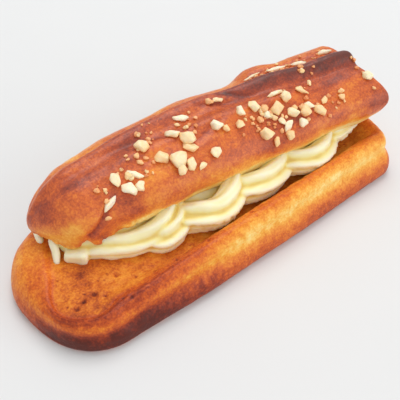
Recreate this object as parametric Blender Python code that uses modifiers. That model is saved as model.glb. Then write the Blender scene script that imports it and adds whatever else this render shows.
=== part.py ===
"""A filled eclair: a choux bun cut in two, piped cream between the halves, chopped nuts on top.

Three solids: base (the hollowed lower half), cream (the piped filling) and lid (the upper half
with the nuts baked onto it). +X runs along the eclair to its far end, +Y to its back, +Z up,
and the origin is at the middle of its underside. Sizes below are in millimetres.
"""

import math
import random

import bmesh
import bpy
import numpy as np
from mathutils import Matrix, Vector
from mathutils.bvhtree import BVHTree

MM = 0.001

# Lower half: its outline on the plate, then its side from the underside up and into the hollow.
BASE_NEAR_X = -71.5
BASE_FAR_X = 74.0
BASE_HALF_WIDTH = 26.4
NEAR_END = 21.0
FAR_END = 11.0
LEAST_END = 4.0
END_ROUNDING = 2.1
BASE_AROUND = 84
BASE_SIDE_STEPS = 17
HOLLOW_STRIPS = 4

# Each pair is (inset from the outline, height as a share of the rim's height).
BASE_SIDE = [
    (0.9, 0.00),
    (0.2, 0.07),
    (0.0, 0.20),
    (0.6, 0.38),
    (2.4, 0.53),
    (3.1, 0.63),
    (2.9, 0.74),
    (3.3, 0.87),
    (5.0, 0.985),
    (6.8, 1.00),
    (8.4, 0.93),
]

# The same round the near end's back corner, where the crust was left whole and slopes up to the hollow.
NOSE_SIDE = [
    (0.9, 0.00),
    (0.2, 0.07),
    (0.0, 0.20),
    (0.3, 0.38),
    (0.9, 0.53),
    (1.7, 0.63),
    (2.9, 0.74),
    (4.9, 0.86),
    (8.0, 0.95),
    (11.0, 1.00),
    (13.0, 0.95),
]

# Each pair is (angle round the end, value there).
NOSE_SHARE = [(90, 0.0), (118, 0.85), (145, 1.0), (170, 0.82), (188, 0.45), (206, 0.08), (225, 0.0)]
RIM_SHARE = [(180, 0.9), (195, 0.55), (207, 0.42), (220, 0.42), (235, 0.54), (250, 0.66), (270, 1.0)]

# Each pair is (x, value there).
WAIST_DEPTH = [(-72, 0.35), (-50, 0.5), (-20, 0.9), (0, 1.0), (72, 1.0)]
BASE_BEND = [(-72, 2.4), (-50, 1.9), (-20, 0.5), (10, 0.0), (72, 0.0)]
RIM_HEIGHT = [(-72, 11.0), (-55, 11.8), (-30, 14.0), (0, 16.0), (40, 16.5), (72, 16.5)]
BACK_RIM_RISE = 1.0
HOLLOW_FLOOR = [(-72, 10.4), (-55, 10.6), (-40, 9.8), (-20, 9.0), (0, 8.5), (40, 9.0), (72, 10.0)]
HOLLOW_WALL = 4.0

# Upper half, along its own axis from its near end to its far end. A power of 2 rounds an end as a circle
# does and a higher one squares it; each pair is (at the lower edge, on top).
LID_CENTRE = (9.5, 11.0)
LID_TURN = -6.5
LID_NEAR = -67.6
LID_FAR = 65.5
LID_NEAR_ROUNDING = 17.0
LID_FAR_ROUNDING = 5.0
NEAR_POWER = (1.6, 1.9)
NEAR_TIP_SHIFT = 1.6
FAR_POWER = (4.0, 2.0)
LID_END_SLANT = 0.2
LID_FAR_TRIM = 1.6
LID_FAR_UNDERCUT = 3.0
FAR_SHOULDER = 0.07
LID_ALONG = 48
LID_ACROSS = 34

# Each pair is (distance along the lid from its middle, value there).
CUT_HEIGHT = [(-66, 17.0), (-58, 17.6), (-30, 18.2), (0, 18.0), (30, 18.6), (62, 19.5)]
LID_HEIGHT = [(-66, 12.5), (-45, 15.0), (-20, 17.0), (0, 17.5), (30, 17.5), (62, 17.5)]
LID_FRONT = [(-66, 16.5), (-45, 17.2), (-20, 18.5), (0, 19.0), (62, 18.5)]
LID_BACK = [(-66, 10.5), (-45, 15.0), (-20, 18.5), (0, 19.5), (62, 17.0)]
CREST_ANGLE = [(-66, 100), (-40, 105), (0, 106), (20, 100), (38, 92), (62, 83)]
CREST_SIZE = [(-66, 0.02), (-45, 0.08), (0, 0.12), (40, 0.13), (62, 0.12)]
FRONT_BULGE = [(-66, 0.00), (-20, 0.06), (20, 0.10), (45, 0.20), (65, 0.35)]
MID_RIDGE = [(-66, 0.00), (-40, 0.03), (0, 0.05), (25, 0.06), (45, 0.02), (62, 0.0)]
BACK_LOBE = [
    (-66, 0.04), (-10, 0.05), (10, 0.03), (19, 0.04), (25, 0.17), (30, 0.185), (38, 0.105), (47, 0.08), (55, 0.06),
    (62, 0.09),
]
EDGE_TUCK = [(-66, 0.03), (-45, 0.05), (-30, 0.10), (62, 0.10)]

# Cream: ropes piped with a star nozzle over a core that fills the space between the halves.
# Each rope is a list of (x, y, z, radius) it passes through.
ROPE_SIDES = 14
ROPE_RIDGES = 7
RIDGE_DEPTH = 0.16
ROPE_STEP = 3.6
FRONT_ROPES = [
    [(-51, 13, 14, 3.0), (-48, 7, 12.4, 3.2), (-42, 2, 12.9, 3.9), (-33, -3, 12.9, 4.0), (-24, -4, 14.6, 4.2),
     (-16, 1, 17.0, 4.0)],
    [(-32, 0, 11.5, 3.5), (-25, -7, 12.0, 4.2), (-19, -6, 13.5, 4.0), (-14, 2, 15.0, 3.5)],
    [(-20, 0, 13, 4.0), (-13, -7, 14, 4.8), (-5, -10.5, 14.3, 4.9), (3, -7.5, 15.5, 4.8), (9, 0, 17, 4.0)],
    [(-1, -2, 14, 4.0), (8, -8.5, 14.6, 4.7), (17, -10.5, 15, 4.9), (25, -7.5, 16, 4.6), (29, 0, 17, 4.0)],
    [(21, -2, 15, 4.0), (28, -10, 16, 4.2), (37, -13.5, 15.8, 4.5), (45, -10.5, 16.4, 4.2), (50, -2, 17, 3.5)],
    [(42, -6, 16.5, 3.0), (50, -10.5, 17.0, 2.7), (59, -10, 17.5, 2.1), (66.5, -8.5, 17.4, 1.6)],
]
NEAR_CURLS = [
    [(-54, 21, 17.5, 1.6), (-56, 18, 14.5, 1.3), (-56, 16, 12.0, 0.9)],
    [(-51, 14, 17.0, 1.6), (-54, 12.0, 15.2, 1.3), (-54.8, 9.2, 13.0, 1.1), (-56.5, 6.8, 10.4, 0.9)],
]
BACK_ROPE_STARTS = [-44, -24, -4, 16, 36]
BACK_ROPE = [(-6, -9, -1, 3.8), (2, -1.5, 0, 4.6), (10, 0, 0.5, 4.8), (18, -3, 1.5, 4.4), (22, -10, 2, 3.6)]
BACK_ROPE_HEIGHT = 14.8
# A broken lump at the near end: its middle, half its width, depth and height, its turn in degrees, and its
# size at places along its width.
LUMP_MIDDLE = (-50.3, 4.6, 12.2)
LUMP_HALF = (3.6, 2.2, 2.4)
LUMP_TURN = -42.0
LUMP_SECTIONS = [(-1.05, 0.55), (-0.9, 0.8), (-0.5, 0.9), (0.0, 0.94), (0.5, 1.06), (0.9, 1.0), (1.0, 0.7)]
# Cross-sections of the core: (x, middle y, half width).
CORE = [(-50, 12, 6), (-42, 12, 12), (-20, 10.5, 13), (20, 6, 15), (50, 3, 14), (64, 2, 9)]
CORE_MIDDLE = 13.5
CORE_HALF_HEIGHT = 6.0

# Chopped nuts. Each large piece is (x, y, length, width, turn in degrees) as seen from above.
LARGE_NUTS = [
    (-12, 2, 6.9, 5.0, 51), (-5, 6, 5.1, 4.4, 110), (20, -5, 4.8, 3.9, 143), (28, -1, 4.7, 3.7, 37),
    (-19, 11, 4.4, 4.0, 117), (-16, 5, 4.4, 3.7, 149), (-30, 3, 4.3, 4.0, 145), (-32, 7, 4.3, 3.4, 43),
    (36, -7, 4.1, 3.7, 119), (33, 0, 3.8, 3.4, 22), (41, -9, 4.5, 3.1, 130), (6, 4, 4.2, 3.3, 145),
    (0, -2, 4.2, 3.2, 50), (-8, 10, 5.5, 2.6, 122), (-13, -5, 3.8, 3.6, 169), (32, -5, 4.1, 3.1, 148),
    (21, 3, 4.0, 3.0, 122), (-37, 4, 5.8, 2.1, 45), (-26, 5, 5.5, 1.8, 129), (31, 3, 5.9, 2.0, 178),
    (-6, 3, 5.0, 2.6, 122), (-13, -1, 3.4, 3.1, 20), (16, 4, 3.3, 3.0, 117), (13, 1, 3.3, 2.8, 124),
    (28, -7, 4.8, 2.0, 43), (-9, -1, 4.1, 2.6, 73), (-1, 14, 5.4, 1.9, 141), (33, -9, 3.1, 3.0, 155),
    (27, -9, 3.1, 2.8, 178), (24, -1, 3.4, 2.4, 128), (-27, 2, 3.1, 3.0, 149), (40, -1, 4.6, 2.0, 125),
    (22, -8, 3.0, 2.0, 52), (27, -5, 3.1, 1.9, 84), (45, -7, 3.2, 2.0, 20), (8, 2, 2.6, 2.3, 120),
    (-6, -3, 3.5, 1.9, 26), (39, -6, 3.6, 2.0, 131), (24, 1, 2.7, 2.3, 129), (14, 13, 3.6, 1.4, 148),
    (11, 14, 2.7, 2.0, 128), (46, 1, 3.6, 1.4, 48), (65, -9, 3.7, 3.0, 157), (34, 17, 6.5, 1.4, 170),
    (43, 14, 8.0, 1.8, 171), (51, 11, 5.9, 1.5, 148), (62, 9, 4.9, 1.9, 151),
]

# Each scatter of small pieces is (x, y, spread along, spread across, count).
NUT_SCATTERS = [
    (-38, 4, 3, 4, 2), (-27, 6, 5, 4, 5), (-20, 8, 4, 4, 2), (-15, 15, 4, 3, 3), (-1, 10, 4, 5, 3),
    (22, -2, 6, 5, 10), (36, -3, 6, 4, 4), (49, -8, 5, 4, 3), (47, 6, 4, 2, 2), (64, -6, 2, 8, 2),
]
SMALL_NUT = (1.5, 2.5)
NUT_HEIGHT = 0.75
NUT_SUNK = 0.22
NUT_FULLNESS = 1.18
NUT_CORNERS = 10

# Where the lid's front edge sags: (distance along the lid, half length, depth).
EDGE_SAGS = [(-59.8, 3, 3.0), (-55.4, 1.5, -1.4), (-50.3, 4.2, 2.8), (-39, 4, 0.6), (-25, 6, 0.5), (8, 9, 0.4)]

# Unevenness of both crusts: (size of the swells, depth).
BASE_SWELLS = (34.0, 0.45)
LID_SWELLS = (30.0, 0.55)

BASE_CLEARANCE = 0.3
LID_CLEARANCE = 0.8
SKIN_GRAIN = 0.5
CREAM_FACES = 3700
CREAM_GAP = 0.4


def along(keys, x):
    """The smooth curve through (position, value) pairs, read at x, which may be an array."""
    at = np.array([k[0] for k in keys], float)
    value = np.array([k[1] for k in keys], float)
    slope = np.gradient(value, at)
    x = np.clip(np.asarray(x, float), at[0], at[-1])
    i = np.clip(np.searchsorted(at, x, side="right") - 1, 0, len(at) - 2)
    width = at[i + 1] - at[i]
    u = (x - at[i]) / width
    start = value[i] * (1 + 2 * u) * (1 - u) ** 2 + slope[i] * width * u * (1 - u) ** 2
    end = value[i + 1] * u * u * (3 - 2 * u) + slope[i + 1] * width * u * u * (u - 1)
    return start + end


def bump(x, centre, width):
    """A smooth hump of height 1 at centre that fades to nothing a few widths away."""
    return np.exp(-(((x - centre) / width) ** 2))


def blend(a, b, share):
    return a + (b - a) * share


def smooth_step(x, start, end):
    u = np.clip((x - start) / (end - start), 0.0, 1.0)
    return u * u * (3 - 2 * u)


def waviness(x, y, z, size, seed):
    """Smooth unevenness between about -1 and 1, with features of about the given size in mm."""
    draw = np.random.default_rng(seed)
    total = 0.0
    for _ in range(7):
        way = draw.normal(size=3)
        way = way / np.linalg.norm(way) * draw.uniform(0.7, 1.5) / size
        total = total + np.sin(2 * math.pi * (x * way[0] + y * way[1] + z * way[2]) + draw.uniform(0, 6.3))
    return total / 3.0


# ---------------------------------------------------------------- lower half


def outline_angles(count):
    """How far round the end, and where along the straight side, each point of the outline lies."""
    far_middle, near_middle = BASE_FAR_X - FAR_END, BASE_NEAR_X + NEAR_END
    fine = np.concatenate([np.linspace(0, 90, 200), np.full(200, 90.0), np.linspace(90, 180, 200)])
    slide = np.concatenate([np.zeros(200), np.linspace(0, 1, 200), np.ones(200)])
    middle = blend(far_middle, near_middle, slide)
    x, y = rounded_end(fine, middle, 0.0)
    run = np.concatenate([[0], np.cumsum(np.hypot(np.diff(x), np.diff(y)))])
    even = np.linspace(0, run[-1], count // 2 + 1)
    back_angle = np.interp(even, run, fine)
    back_middle = np.interp(even, run, middle)
    angle = np.concatenate([back_angle, 360 - back_angle[-2:0:-1]])
    return angle, np.concatenate([back_middle, back_middle[-2:0:-1]])


def rounded_end(angle, middle, inset):
    """Points of the outline drawn in by inset, from their angles and the middles they turn about."""
    c, s = np.cos(np.radians(angle)), np.sin(np.radians(angle))
    end = np.where(c < 0, NEAR_END, FAR_END) - inset
    short = np.maximum(LEAST_END - end, 0.0)
    x = middle - short * np.sign(c) + (end + short) * np.sign(c) * np.abs(c) ** (2 / END_ROUNDING)
    y = (BASE_HALF_WIDTH - inset) * np.sign(s) * np.abs(s) ** (2 / END_ROUNDING)
    return x, y


def base_outline(around, inset):
    """A ring of the base's outline, bent a little and drawn in by inset."""
    angle, middle = around
    x, y = rounded_end(angle, middle, inset)
    return x, y + along(BASE_BEND, x)


def rim_height(x, y):
    return along(RIM_HEIGHT, x) + BACK_RIM_RISE * smooth_step(y, -8, 22)


def side_profile(side, steps):
    """Insets and height shares evenly spaced along a profile of the base's side."""
    keys = np.array(side)
    place = np.linspace(0, len(keys) - 1, steps)
    numbered = range(len(keys))
    inset = along(list(zip(numbered, keys[:, 0])), place)
    share = along(list(zip(numbered, keys[:, 1])), place)
    return inset, share


def side_at(around, steps):
    """The profile at each point round the outline: insets and height shares, one row for each step."""
    angle, _ = around
    x, _ = base_outline(around, 0.0)
    nose = np.where((angle > 90) & (angle < 225), along(NOSE_SHARE, angle), 0.0)
    narrow = np.where((angle > 180) & (angle < 270), along(RIM_SHARE, angle), 1.0)
    inset, share = side_profile(BASE_SIDE, steps)
    nose_inset, nose_share = side_profile(NOSE_SIDE, steps)
    waist = bump(np.arange(steps) / (steps - 1), 0.5, 0.16)
    flat = np.outer(waist, 1 - along(WAIST_DEPTH, x)) * 1.8
    inset = (inset[:, None] - flat) * narrow
    return blend(inset, nose_inset[:, None], nose), blend(share[:, None], nose_share[:, None], nose)


def base_rings(count, steps):
    """Rings of points from the underside's edge, up the side, over the rim, to the hollow's floor."""
    around = outline_angles(count)
    rings = []
    insets, shares = side_at(around, steps)
    for d, h in zip(insets, shares):
        swell = BASE_SWELLS[1] * waviness(*base_outline(around, 0.0), 20 * h, BASE_SWELLS[0], 3)
        swell = swell * np.minimum(1, 6 * h)
        x, y = base_outline(around, d - swell)
        rings.append(np.stack([x, y, h * (rim_height(x, y) + 0.5 * swell)], -1))
    for step in (0.5, 1.0):
        x, y = base_outline(around, insets[-1] + HOLLOW_WALL * step)
        z = blend(rings[steps - 1][:, 2], along(HOLLOW_FLOOR, x), 0.55 * step + 0.45 * step * step)
        rings.append(np.stack([x, y, z], -1))
    return rings


def closed_by_strips(bm, rings, cross):
    """Faces between the rings; the first ring is closed flat, the last by strips across it."""
    loops = [[bm.verts.new(Vector(p) * MM) for p in ring] for ring in rings]
    count = len(loops[0])
    for low, high in zip(loops, loops[1:]):
        for i in range(count):
            j = (i + 1) % count
            bm.faces.new((low[i], low[j], high[j], high[i]))
    bm.faces.new(list(reversed(loops[0])))
    edge = loops[-1]
    half = count // 2
    rows = []
    for i in range(1, half):
        back, front = edge[i], edge[count - i]
        row = [back]
        for k in range(1, cross):
            place = back.co.lerp(front.co, k / cross)
            row.append(bm.verts.new(place))
        row.append(front)
        rows.append(row)
    for a, b in zip(rows, rows[1:]):
        for k in range(cross):
            bm.faces.new((a[k], b[k], b[k + 1], a[k + 1]))
    for tip, row in ((edge[0], rows[0]), (edge[half], rows[-1])):
        for k in range(cross):
            bm.faces.new((tip, row[k], row[k + 1]))


def make_base():
    bm = bmesh.new()
    closed_by_strips(bm, base_rings(BASE_AROUND, BASE_SIDE_STEPS), cross=HOLLOW_STRIPS)
    return finished(bm, "base", (0.62, 0.27, 0.07, 1))


# ---------------------------------------------------------------- upper half


def lid_radius(s, angle):
    """How far the lid's top reaches out of its ellipse, at s along it and an angle over it."""
    crest = along(CREST_ANGLE, s)
    radius = 1.0 + along(CREST_SIZE, s) * bump(angle, crest, 9)
    radius = radius + along(FRONT_BULGE, s) * bump(angle, 28, 22)
    radius = radius + along(BACK_LOBE, s) * bump(angle, crest + 38, 20)
    radius = radius + along(MID_RIDGE, s) * bump(angle, crest - 30, 8)
    radius = radius - 0.035 * bump(angle, crest - 16, 7) - 0.03 * bump(angle, crest + 13, 6)
    radius = radius + FAR_SHOULDER * bump(angle, 58, 14) * smooth_step(s, 40, 58)
    radius = radius - along(EDGE_TUCK, s) * bump(angle, 0, 14) - 0.10 * bump(angle, 180, 14)
    return radius


def lid_end_share(s, angle):
    """1 along the lid, falling to 0 at its ends: round in plan at the near one, squarer at the far one."""
    low = 1 - np.sin(np.radians(angle))
    near_power, far_power = blend(NEAR_POWER[1], NEAR_POWER[0], low), blend(FAR_POWER[1], FAR_POWER[0], low)
    near = np.clip((LID_NEAR + LID_NEAR_ROUNDING - s) / LID_NEAR_ROUNDING, 0, 1)
    far = np.clip((s - LID_FAR + LID_FAR_ROUNDING) / LID_FAR_ROUNDING, 0, 1)
    return (1 - near**near_power) ** (1 / near_power) * (1 - far**far_power) ** (1 / far_power)


def edge_sag(s):
    return sum(depth * bump(s, place, half) for place, half, depth in EDGE_SAGS)


def lid_stations(count):
    """Places along the lid, closer together toward its ends."""
    u = np.linspace(-1, 1, count)
    even = 0.5 * u + 0.5 * np.sin(u * math.pi / 2)
    return blend(LID_NEAR, LID_FAR, (even + 1) / 2)


def lid_place(points):
    """From the lid's own axes to the eclair's."""
    turn = math.radians(LID_TURN)
    x = LID_CENTRE[0] + points[..., 0] * math.cos(turn) - points[..., 1] * math.sin(turn)
    y = LID_CENTRE[1] + points[..., 0] * math.sin(turn) + points[..., 1] * math.cos(turn)
    return np.stack([x, y, points[..., 2]], -1)


def lid_sections(stations, across):
    """Open arches from the lid's front lower edge over its top to its back lower edge."""
    angle = np.linspace(0, 180, across)
    sections = []
    for s in stations:
        swell = LID_SWELLS[1] * waviness(s, 0.3 * angle, 0, LID_SWELLS[0], 5) / along(LID_HEIGHT, s)
        radius = (lid_radius(s, angle) + swell) * lid_end_share(s, angle)
        width = np.where(angle < 90, along(LID_FRONT, s), along(LID_BACK, s))
        y = -np.cos(np.radians(angle)) * width * radius + NEAR_TIP_SHIFT * smooth_step(s, -56, LID_NEAR)
        z = along(CUT_HEIGHT, s) + np.sin(np.radians(angle)) * along(LID_HEIGHT, s) * radius
        z = z - edge_sag(s) * bump(angle, 0, 16)
        x = s - LID_END_SLANT * (y + LID_FRONT[-1][1]) * smooth_step(s, 20, LID_FAR)
        x = x - LID_FAR_TRIM * smooth_step(angle, 85, 50) * smooth_step(s, 45, LID_FAR)
        x = x - LID_FAR_UNDERCUT * bump(angle, 0, 14) * smooth_step(s, 45, LID_FAR)
        sections.append(lid_place(np.stack([x, y, z], -1)))
    return sections


def make_lid():
    bm = bmesh.new()
    stations = lid_stations(LID_ALONG)
    arches = lid_sections(stations[1:-1], LID_ACROSS)
    tips = lid_sections(stations[[0, -1]], 3)
    rows = [[bm.verts.new(Vector(p) * MM) for p in arch] for arch in arches]
    for a, b in zip(rows, rows[1:]):
        for k in range(LID_ACROSS - 1):
            bm.faces.new((a[k], a[k + 1], b[k + 1], b[k]))
        bm.faces.new((a[-1], a[0], b[0], b[-1]))
    for tip, row in ((tips[0][0], rows[0]), (tips[1][0], rows[-1])):
        point = bm.verts.new(Vector(tip) * MM)
        for k in range(LID_ACROSS):
            bm.faces.new((point, row[k], row[(k + 1) % LID_ACROSS]))
    return finished(bm, "lid", (0.58, 0.20, 0.04, 1))


# ---------------------------------------------------------------- chopped nuts


def surface_below(tree, x, y):
    """The point of the crust straight below (x, y), and which way it faces there."""
    point, normal, _, _ = tree.ray_cast(Vector((x, y, 100)) * MM, Vector((0, 0, -1)))
    return point, normal


def small_nuts(draw):
    """The small pieces of each scatter, placed by chance round its middle."""
    pieces = []
    for x, y, spread_x, spread_y, count in NUT_SCATTERS:
        for _ in range(count):
            length = draw.uniform(*SMALL_NUT)
            place = (draw.gauss(x, spread_x / 2), draw.gauss(y, spread_y / 2))
            pieces.append((*place, length, length * draw.uniform(0.6, 1.0), draw.uniform(0, 180)))
    return pieces


def seat(point, normal, turn):
    """A place on the crust: +X along the turn as seen from above, +Z straight out of the crust."""
    heading = Vector((math.cos(math.radians(turn)), math.sin(math.radians(turn)), 0))
    ahead = (heading - normal * heading.dot(normal)).normalized()
    return Matrix.Translation(point) @ Matrix((ahead, normal.cross(ahead), normal)).transposed().to_4x4()


def nut_piece(draw, size, place):
    """A cut piece with flat, uneven faces: the hull of points on a jittered block."""
    bm = bmesh.new()
    half = Vector(size) * (0.5 * NUT_FULLNESS)
    for i in range(NUT_CORNERS):
        lift = 1 - 2 * (i + 0.5) / NUT_CORNERS
        angle = i * 2.4 + draw.uniform(-0.5, 0.5)
        ring = math.sqrt(1 - lift * lift)
        way = Vector((ring * math.cos(angle), ring * math.sin(angle), lift))
        way /= max(abs(way.x), abs(way.y), abs(way.z)) ** 0.6
        way *= draw.uniform(0.88, 1.08)
        bm.verts.new(Vector((way.x * half.x, way.y * half.y, way.z * half.z)) * MM)
    bmesh.ops.convex_hull(bm, input=bm.verts)
    bmesh.ops.delete(bm, geom=[v for v in bm.verts if not v.link_faces], context="VERTS")
    bm.transform(place)
    return bm


def make_nuts(lid, holder):
    """Loose pieces set into the lid's crust, largest first."""
    tree = BVHTree.FromObject(lid, bpy.context.evaluated_depsgraph_get())
    draw = random.Random(12)
    for x, y, length, width, turn in LARGE_NUTS + small_nuts(draw):
        point, normal = surface_below(tree, x, y)
        if point is None:
            continue
        height = width * NUT_HEIGHT
        lift = normal * (height * (0.5 - NUT_SUNK) * MM)
        bm = nut_piece(draw, (length, width, height), seat(point + lift, normal, turn))
        linked(bm, "nut", holder)


# ---------------------------------------------------------------- cream


def rope_path(knots, step):
    """Evenly spaced places and radii along the smooth curve through the knots."""
    knots = np.array(knots, float)
    run = np.concatenate([[0], np.cumsum(np.linalg.norm(np.diff(knots[:, :3], axis=0), axis=1))])
    count = max(5, int(round(run[-1] / step)) + 1)
    even = np.linspace(0, run[-1], count)
    return np.stack([along(list(zip(run, knots[:, k])), even) for k in range(4)], -1)


def rope_rings(knots, step, sides):
    """Star-shaped rings along a rope, tapering to rounded tips."""
    path = rope_path(knots, step)
    centre, radius = path[:, :3], path[:, 3]
    way = np.gradient(centre, axis=0)
    way /= np.linalg.norm(way, axis=1)[:, None]
    across = np.cross(way, (0, 0, 1))
    across /= np.linalg.norm(across, axis=1)[:, None]
    upward = np.cross(across, way)
    angle = np.arange(sides) / sides * 2 * math.pi
    star = 1 - RIDGE_DEPTH * (0.5 - 0.5 * np.cos(ROPE_RIDGES * angle))
    rings = []
    for i in range(len(centre)):
        tip = min(i, len(centre) - 1 - i)
        size = radius[i] * (0.45 if tip == 0 else 1.0)
        offset = np.outer(np.cos(angle) * star, across[i]) + np.outer(np.sin(angle) * star, upward[i])
        rings.append(centre[i] + size * offset)
    return rings


def tube(rings):
    """A closed tube through rings of equal count, with flat ends."""
    bm = bmesh.new()
    loops = [[bm.verts.new(Vector(p) * MM) for p in ring] for ring in rings]
    count = len(loops[0])
    for low, high in zip(loops, loops[1:]):
        for i in range(count):
            j = (i + 1) % count
            bm.faces.new((low[i], low[j], high[j], high[i]))
    bm.faces.new(list(reversed(loops[0])))
    bm.faces.new(loops[-1])
    bmesh.ops.recalc_face_normals(bm, faces=bm.faces)
    return bm


def back_edge(x):
    """How far back the lid's lower edge lies at x."""
    return LID_CENTRE[1] + (x - LID_CENTRE[0]) * math.tan(math.radians(LID_TURN)) + 16.0


def back_ropes():
    """The rope's folds along the back, spaced evenly."""
    ropes = []
    for start in BACK_ROPE_STARTS:
        rope = []
        for x, y, z, radius in BACK_ROPE:
            rope.append((start + x, min(back_edge(start + x), 19.5) + y, BACK_ROPE_HEIGHT + z, radius))
        ropes.append(rope)
    return ropes


def core_rings(sides):
    """Flattened rings of the filling between the halves."""
    angle = np.arange(sides) / sides * 2 * math.pi
    rings = []
    for x, y, half_width in CORE:
        ring_y = y + half_width * np.cos(angle)
        ring_z = CORE_MIDDLE + CORE_HALF_HEIGHT * np.sin(angle)
        rings.append(np.stack([np.full(sides, x), ring_y, ring_z], -1))
    return rings


def lump_rings(sides):
    """A rounded block at the near end, as rings from its left to its right."""
    turn = math.radians(LUMP_TURN)
    angle = np.arange(sides) / sides * 2 * math.pi
    c, s = np.cos(angle), np.sin(angle)
    deep = LUMP_HALF[1] * np.sign(c) * np.abs(c) ** 0.4
    high = LUMP_HALF[2] * np.sign(s) * np.abs(s) ** 0.4
    rings = []
    for along_it, size in LUMP_SECTIONS:
        wide = along_it * LUMP_HALF[0]
        x = LUMP_MIDDLE[0] + wide * math.cos(turn) + size * deep * math.sin(turn)
        y = LUMP_MIDDLE[1] + wide * math.sin(turn) - size * deep * math.cos(turn)
        rings.append(np.stack([x, y, LUMP_MIDDLE[2] + size * high], -1))
    return rings


def make_cream(base, lid, holder):
    """The core and all the ropes as one solid, kept clear of both halves."""
    cream = linked(tube(core_rings(16)), "cream", PARTS)
    linked(tube(lump_rings(16)), "lump", holder)
    for knots in FRONT_ROPES + NEAR_CURLS + back_ropes():
        linked(tube(rope_rings(knots, ROPE_STEP, ROPE_SIDES)), "rope", holder)
    join(cream, holder, "UNION")
    for half, distance in ((base, BASE_CLEARANCE), (lid, LID_CLEARANCE)):
        grown(half, distance, holder)
        join(cream, holder, "DIFFERENCE")
    melt(cream)
    only_largest(cream)
    for half in (lid, base, lid, base):
        keep_clear(cream, half)
    cream.data.materials.clear()
    cream.data.materials.append(plain_material("pastry_cream", (0.87, 0.75, 0.42, 1), 0.35))
    return cream


# ---------------------------------------------------------------- building


def linked(bm, name, collection):
    """An object made from a bmesh, in the given collection."""
    mesh = bpy.data.meshes.new(name)
    bm.to_mesh(mesh)
    bm.free()
    piece = bpy.data.objects.new(name, mesh)
    collection.objects.link(piece)
    return piece


def grown(piece, distance, holder):
    """A copy of a closed piece with its surface moved outward."""
    bm = bmesh.new()
    bm.from_mesh(piece.data)
    bm.normal_update()
    for vert in bm.verts:
        vert.co += vert.normal * vert.calc_shell_factor() * distance * MM
    return linked(bm, "grown", holder)


def apply_modifiers(piece):
    bpy.context.view_layer.update()
    result = bpy.data.meshes.new_from_object(piece.evaluated_get(bpy.context.evaluated_depsgraph_get()))
    piece.modifiers.clear()
    piece.data = result


def join(piece, holder, operation):
    """Applies one Boolean of everything in the holder to the piece, then empties the holder."""
    tool = piece.modifiers.new("join", "BOOLEAN")
    tool.operation = operation
    tool.operand_type = "COLLECTION"
    tool.collection = holder
    tool.solver = "MANIFOLD"
    apply_modifiers(piece)
    for other in list(holder.objects):
        bpy.data.objects.remove(other)


def melt(piece):
    """Runs the ropes into one even skin, without the sharp seams and slivers where they meet."""
    skin = piece.modifiers.new("skin", "REMESH")
    skin.mode = "VOXEL"
    skin.voxel_size = SKIN_GRAIN * MM
    apply_modifiers(piece)
    fewer = piece.modifiers.new("fewer", "DECIMATE")
    fewer.ratio = CREAM_FACES / (2 * len(piece.data.polygons))
    apply_modifiers(piece)


def keep_clear(piece, other):
    """Moves the vertices that lie in the other piece, or too close to it, just clear of it."""
    tree = BVHTree.FromObject(other, bpy.context.evaluated_depsgraph_get())
    for vert in piece.data.vertices:
        nearest, normal, _, _ = tree.find_nearest(vert.co)
        height = (vert.co - nearest).dot(normal)
        distance = (vert.co - nearest).length
        if height < 0 or distance < CREAM_GAP * MM:
            vert.co = nearest + normal * CREAM_GAP * MM
    piece.data.update()


def only_largest(piece):
    """Drops loose scraps, keeping the shell with the most faces."""
    bm = bmesh.new()
    bm.from_mesh(piece.data)
    unseen = set(bm.verts)
    shells = []
    while unseen:
        shell, edge = set(), {unseen.pop()}
        while edge:
            shell |= edge
            edge = {e.other_vert(v) for v in edge for e in v.link_edges} - shell
        unseen -= shell
        shells.append(shell)
    shells.sort(key=len)
    for shell in shells[:-1]:
        bmesh.ops.delete(bm, geom=list(shell), context="VERTS")
    bm.to_mesh(piece.data)
    bm.free()


def centre(collection):
    """Moves the pieces together so that the origin is at the middle of their underside."""
    corners = np.array([v.co for piece in collection.objects for v in piece.data.vertices])
    low, high = corners.min(0), corners.max(0)
    shift = Matrix.Translation((-(low[0] + high[0]) / 2, -(low[1] + high[1]) / 2, -low[2]))
    for piece in collection.objects:
        piece.data.transform(shift)


def plain_material(name, colour, roughness):
    material = bpy.data.materials.new(name)
    material.use_nodes = True
    shader = material.node_tree.nodes["Principled BSDF"]
    shader.inputs["Base Color"].default_value = colour
    shader.inputs["Roughness"].default_value = roughness
    return material


def finished(bm, name, colour):
    """A closed object with its faces turned outward, from a bmesh."""
    bmesh.ops.recalc_face_normals(bm, faces=bm.faces)
    piece = linked(bm, name, PARTS)
    piece.data.materials.append(plain_material(name + "_crust", colour, 0.45))
    return piece


def new_collection(name):
    collection = bpy.data.collections.new(name)
    bpy.context.scene.collection.children.link(collection)
    return collection


for thing in list(bpy.data.objects):
    bpy.data.objects.remove(thing)
PARTS = new_collection("eclair")
JOINING = new_collection("joining")
base = make_base()
lid = make_lid()
make_cream(base, lid, JOINING)
make_nuts(lid, JOINING)
join(lid, JOINING, "UNION")
only_largest(lid)
centre(PARTS)
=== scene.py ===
import math
import random

import bmesh
import bpy
import numpy as np
from mathutils import Matrix, Vector, noise
from mathutils.bvhtree import BVHTree
from mathutils.geometry import delaunay_2d_cdt


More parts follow.
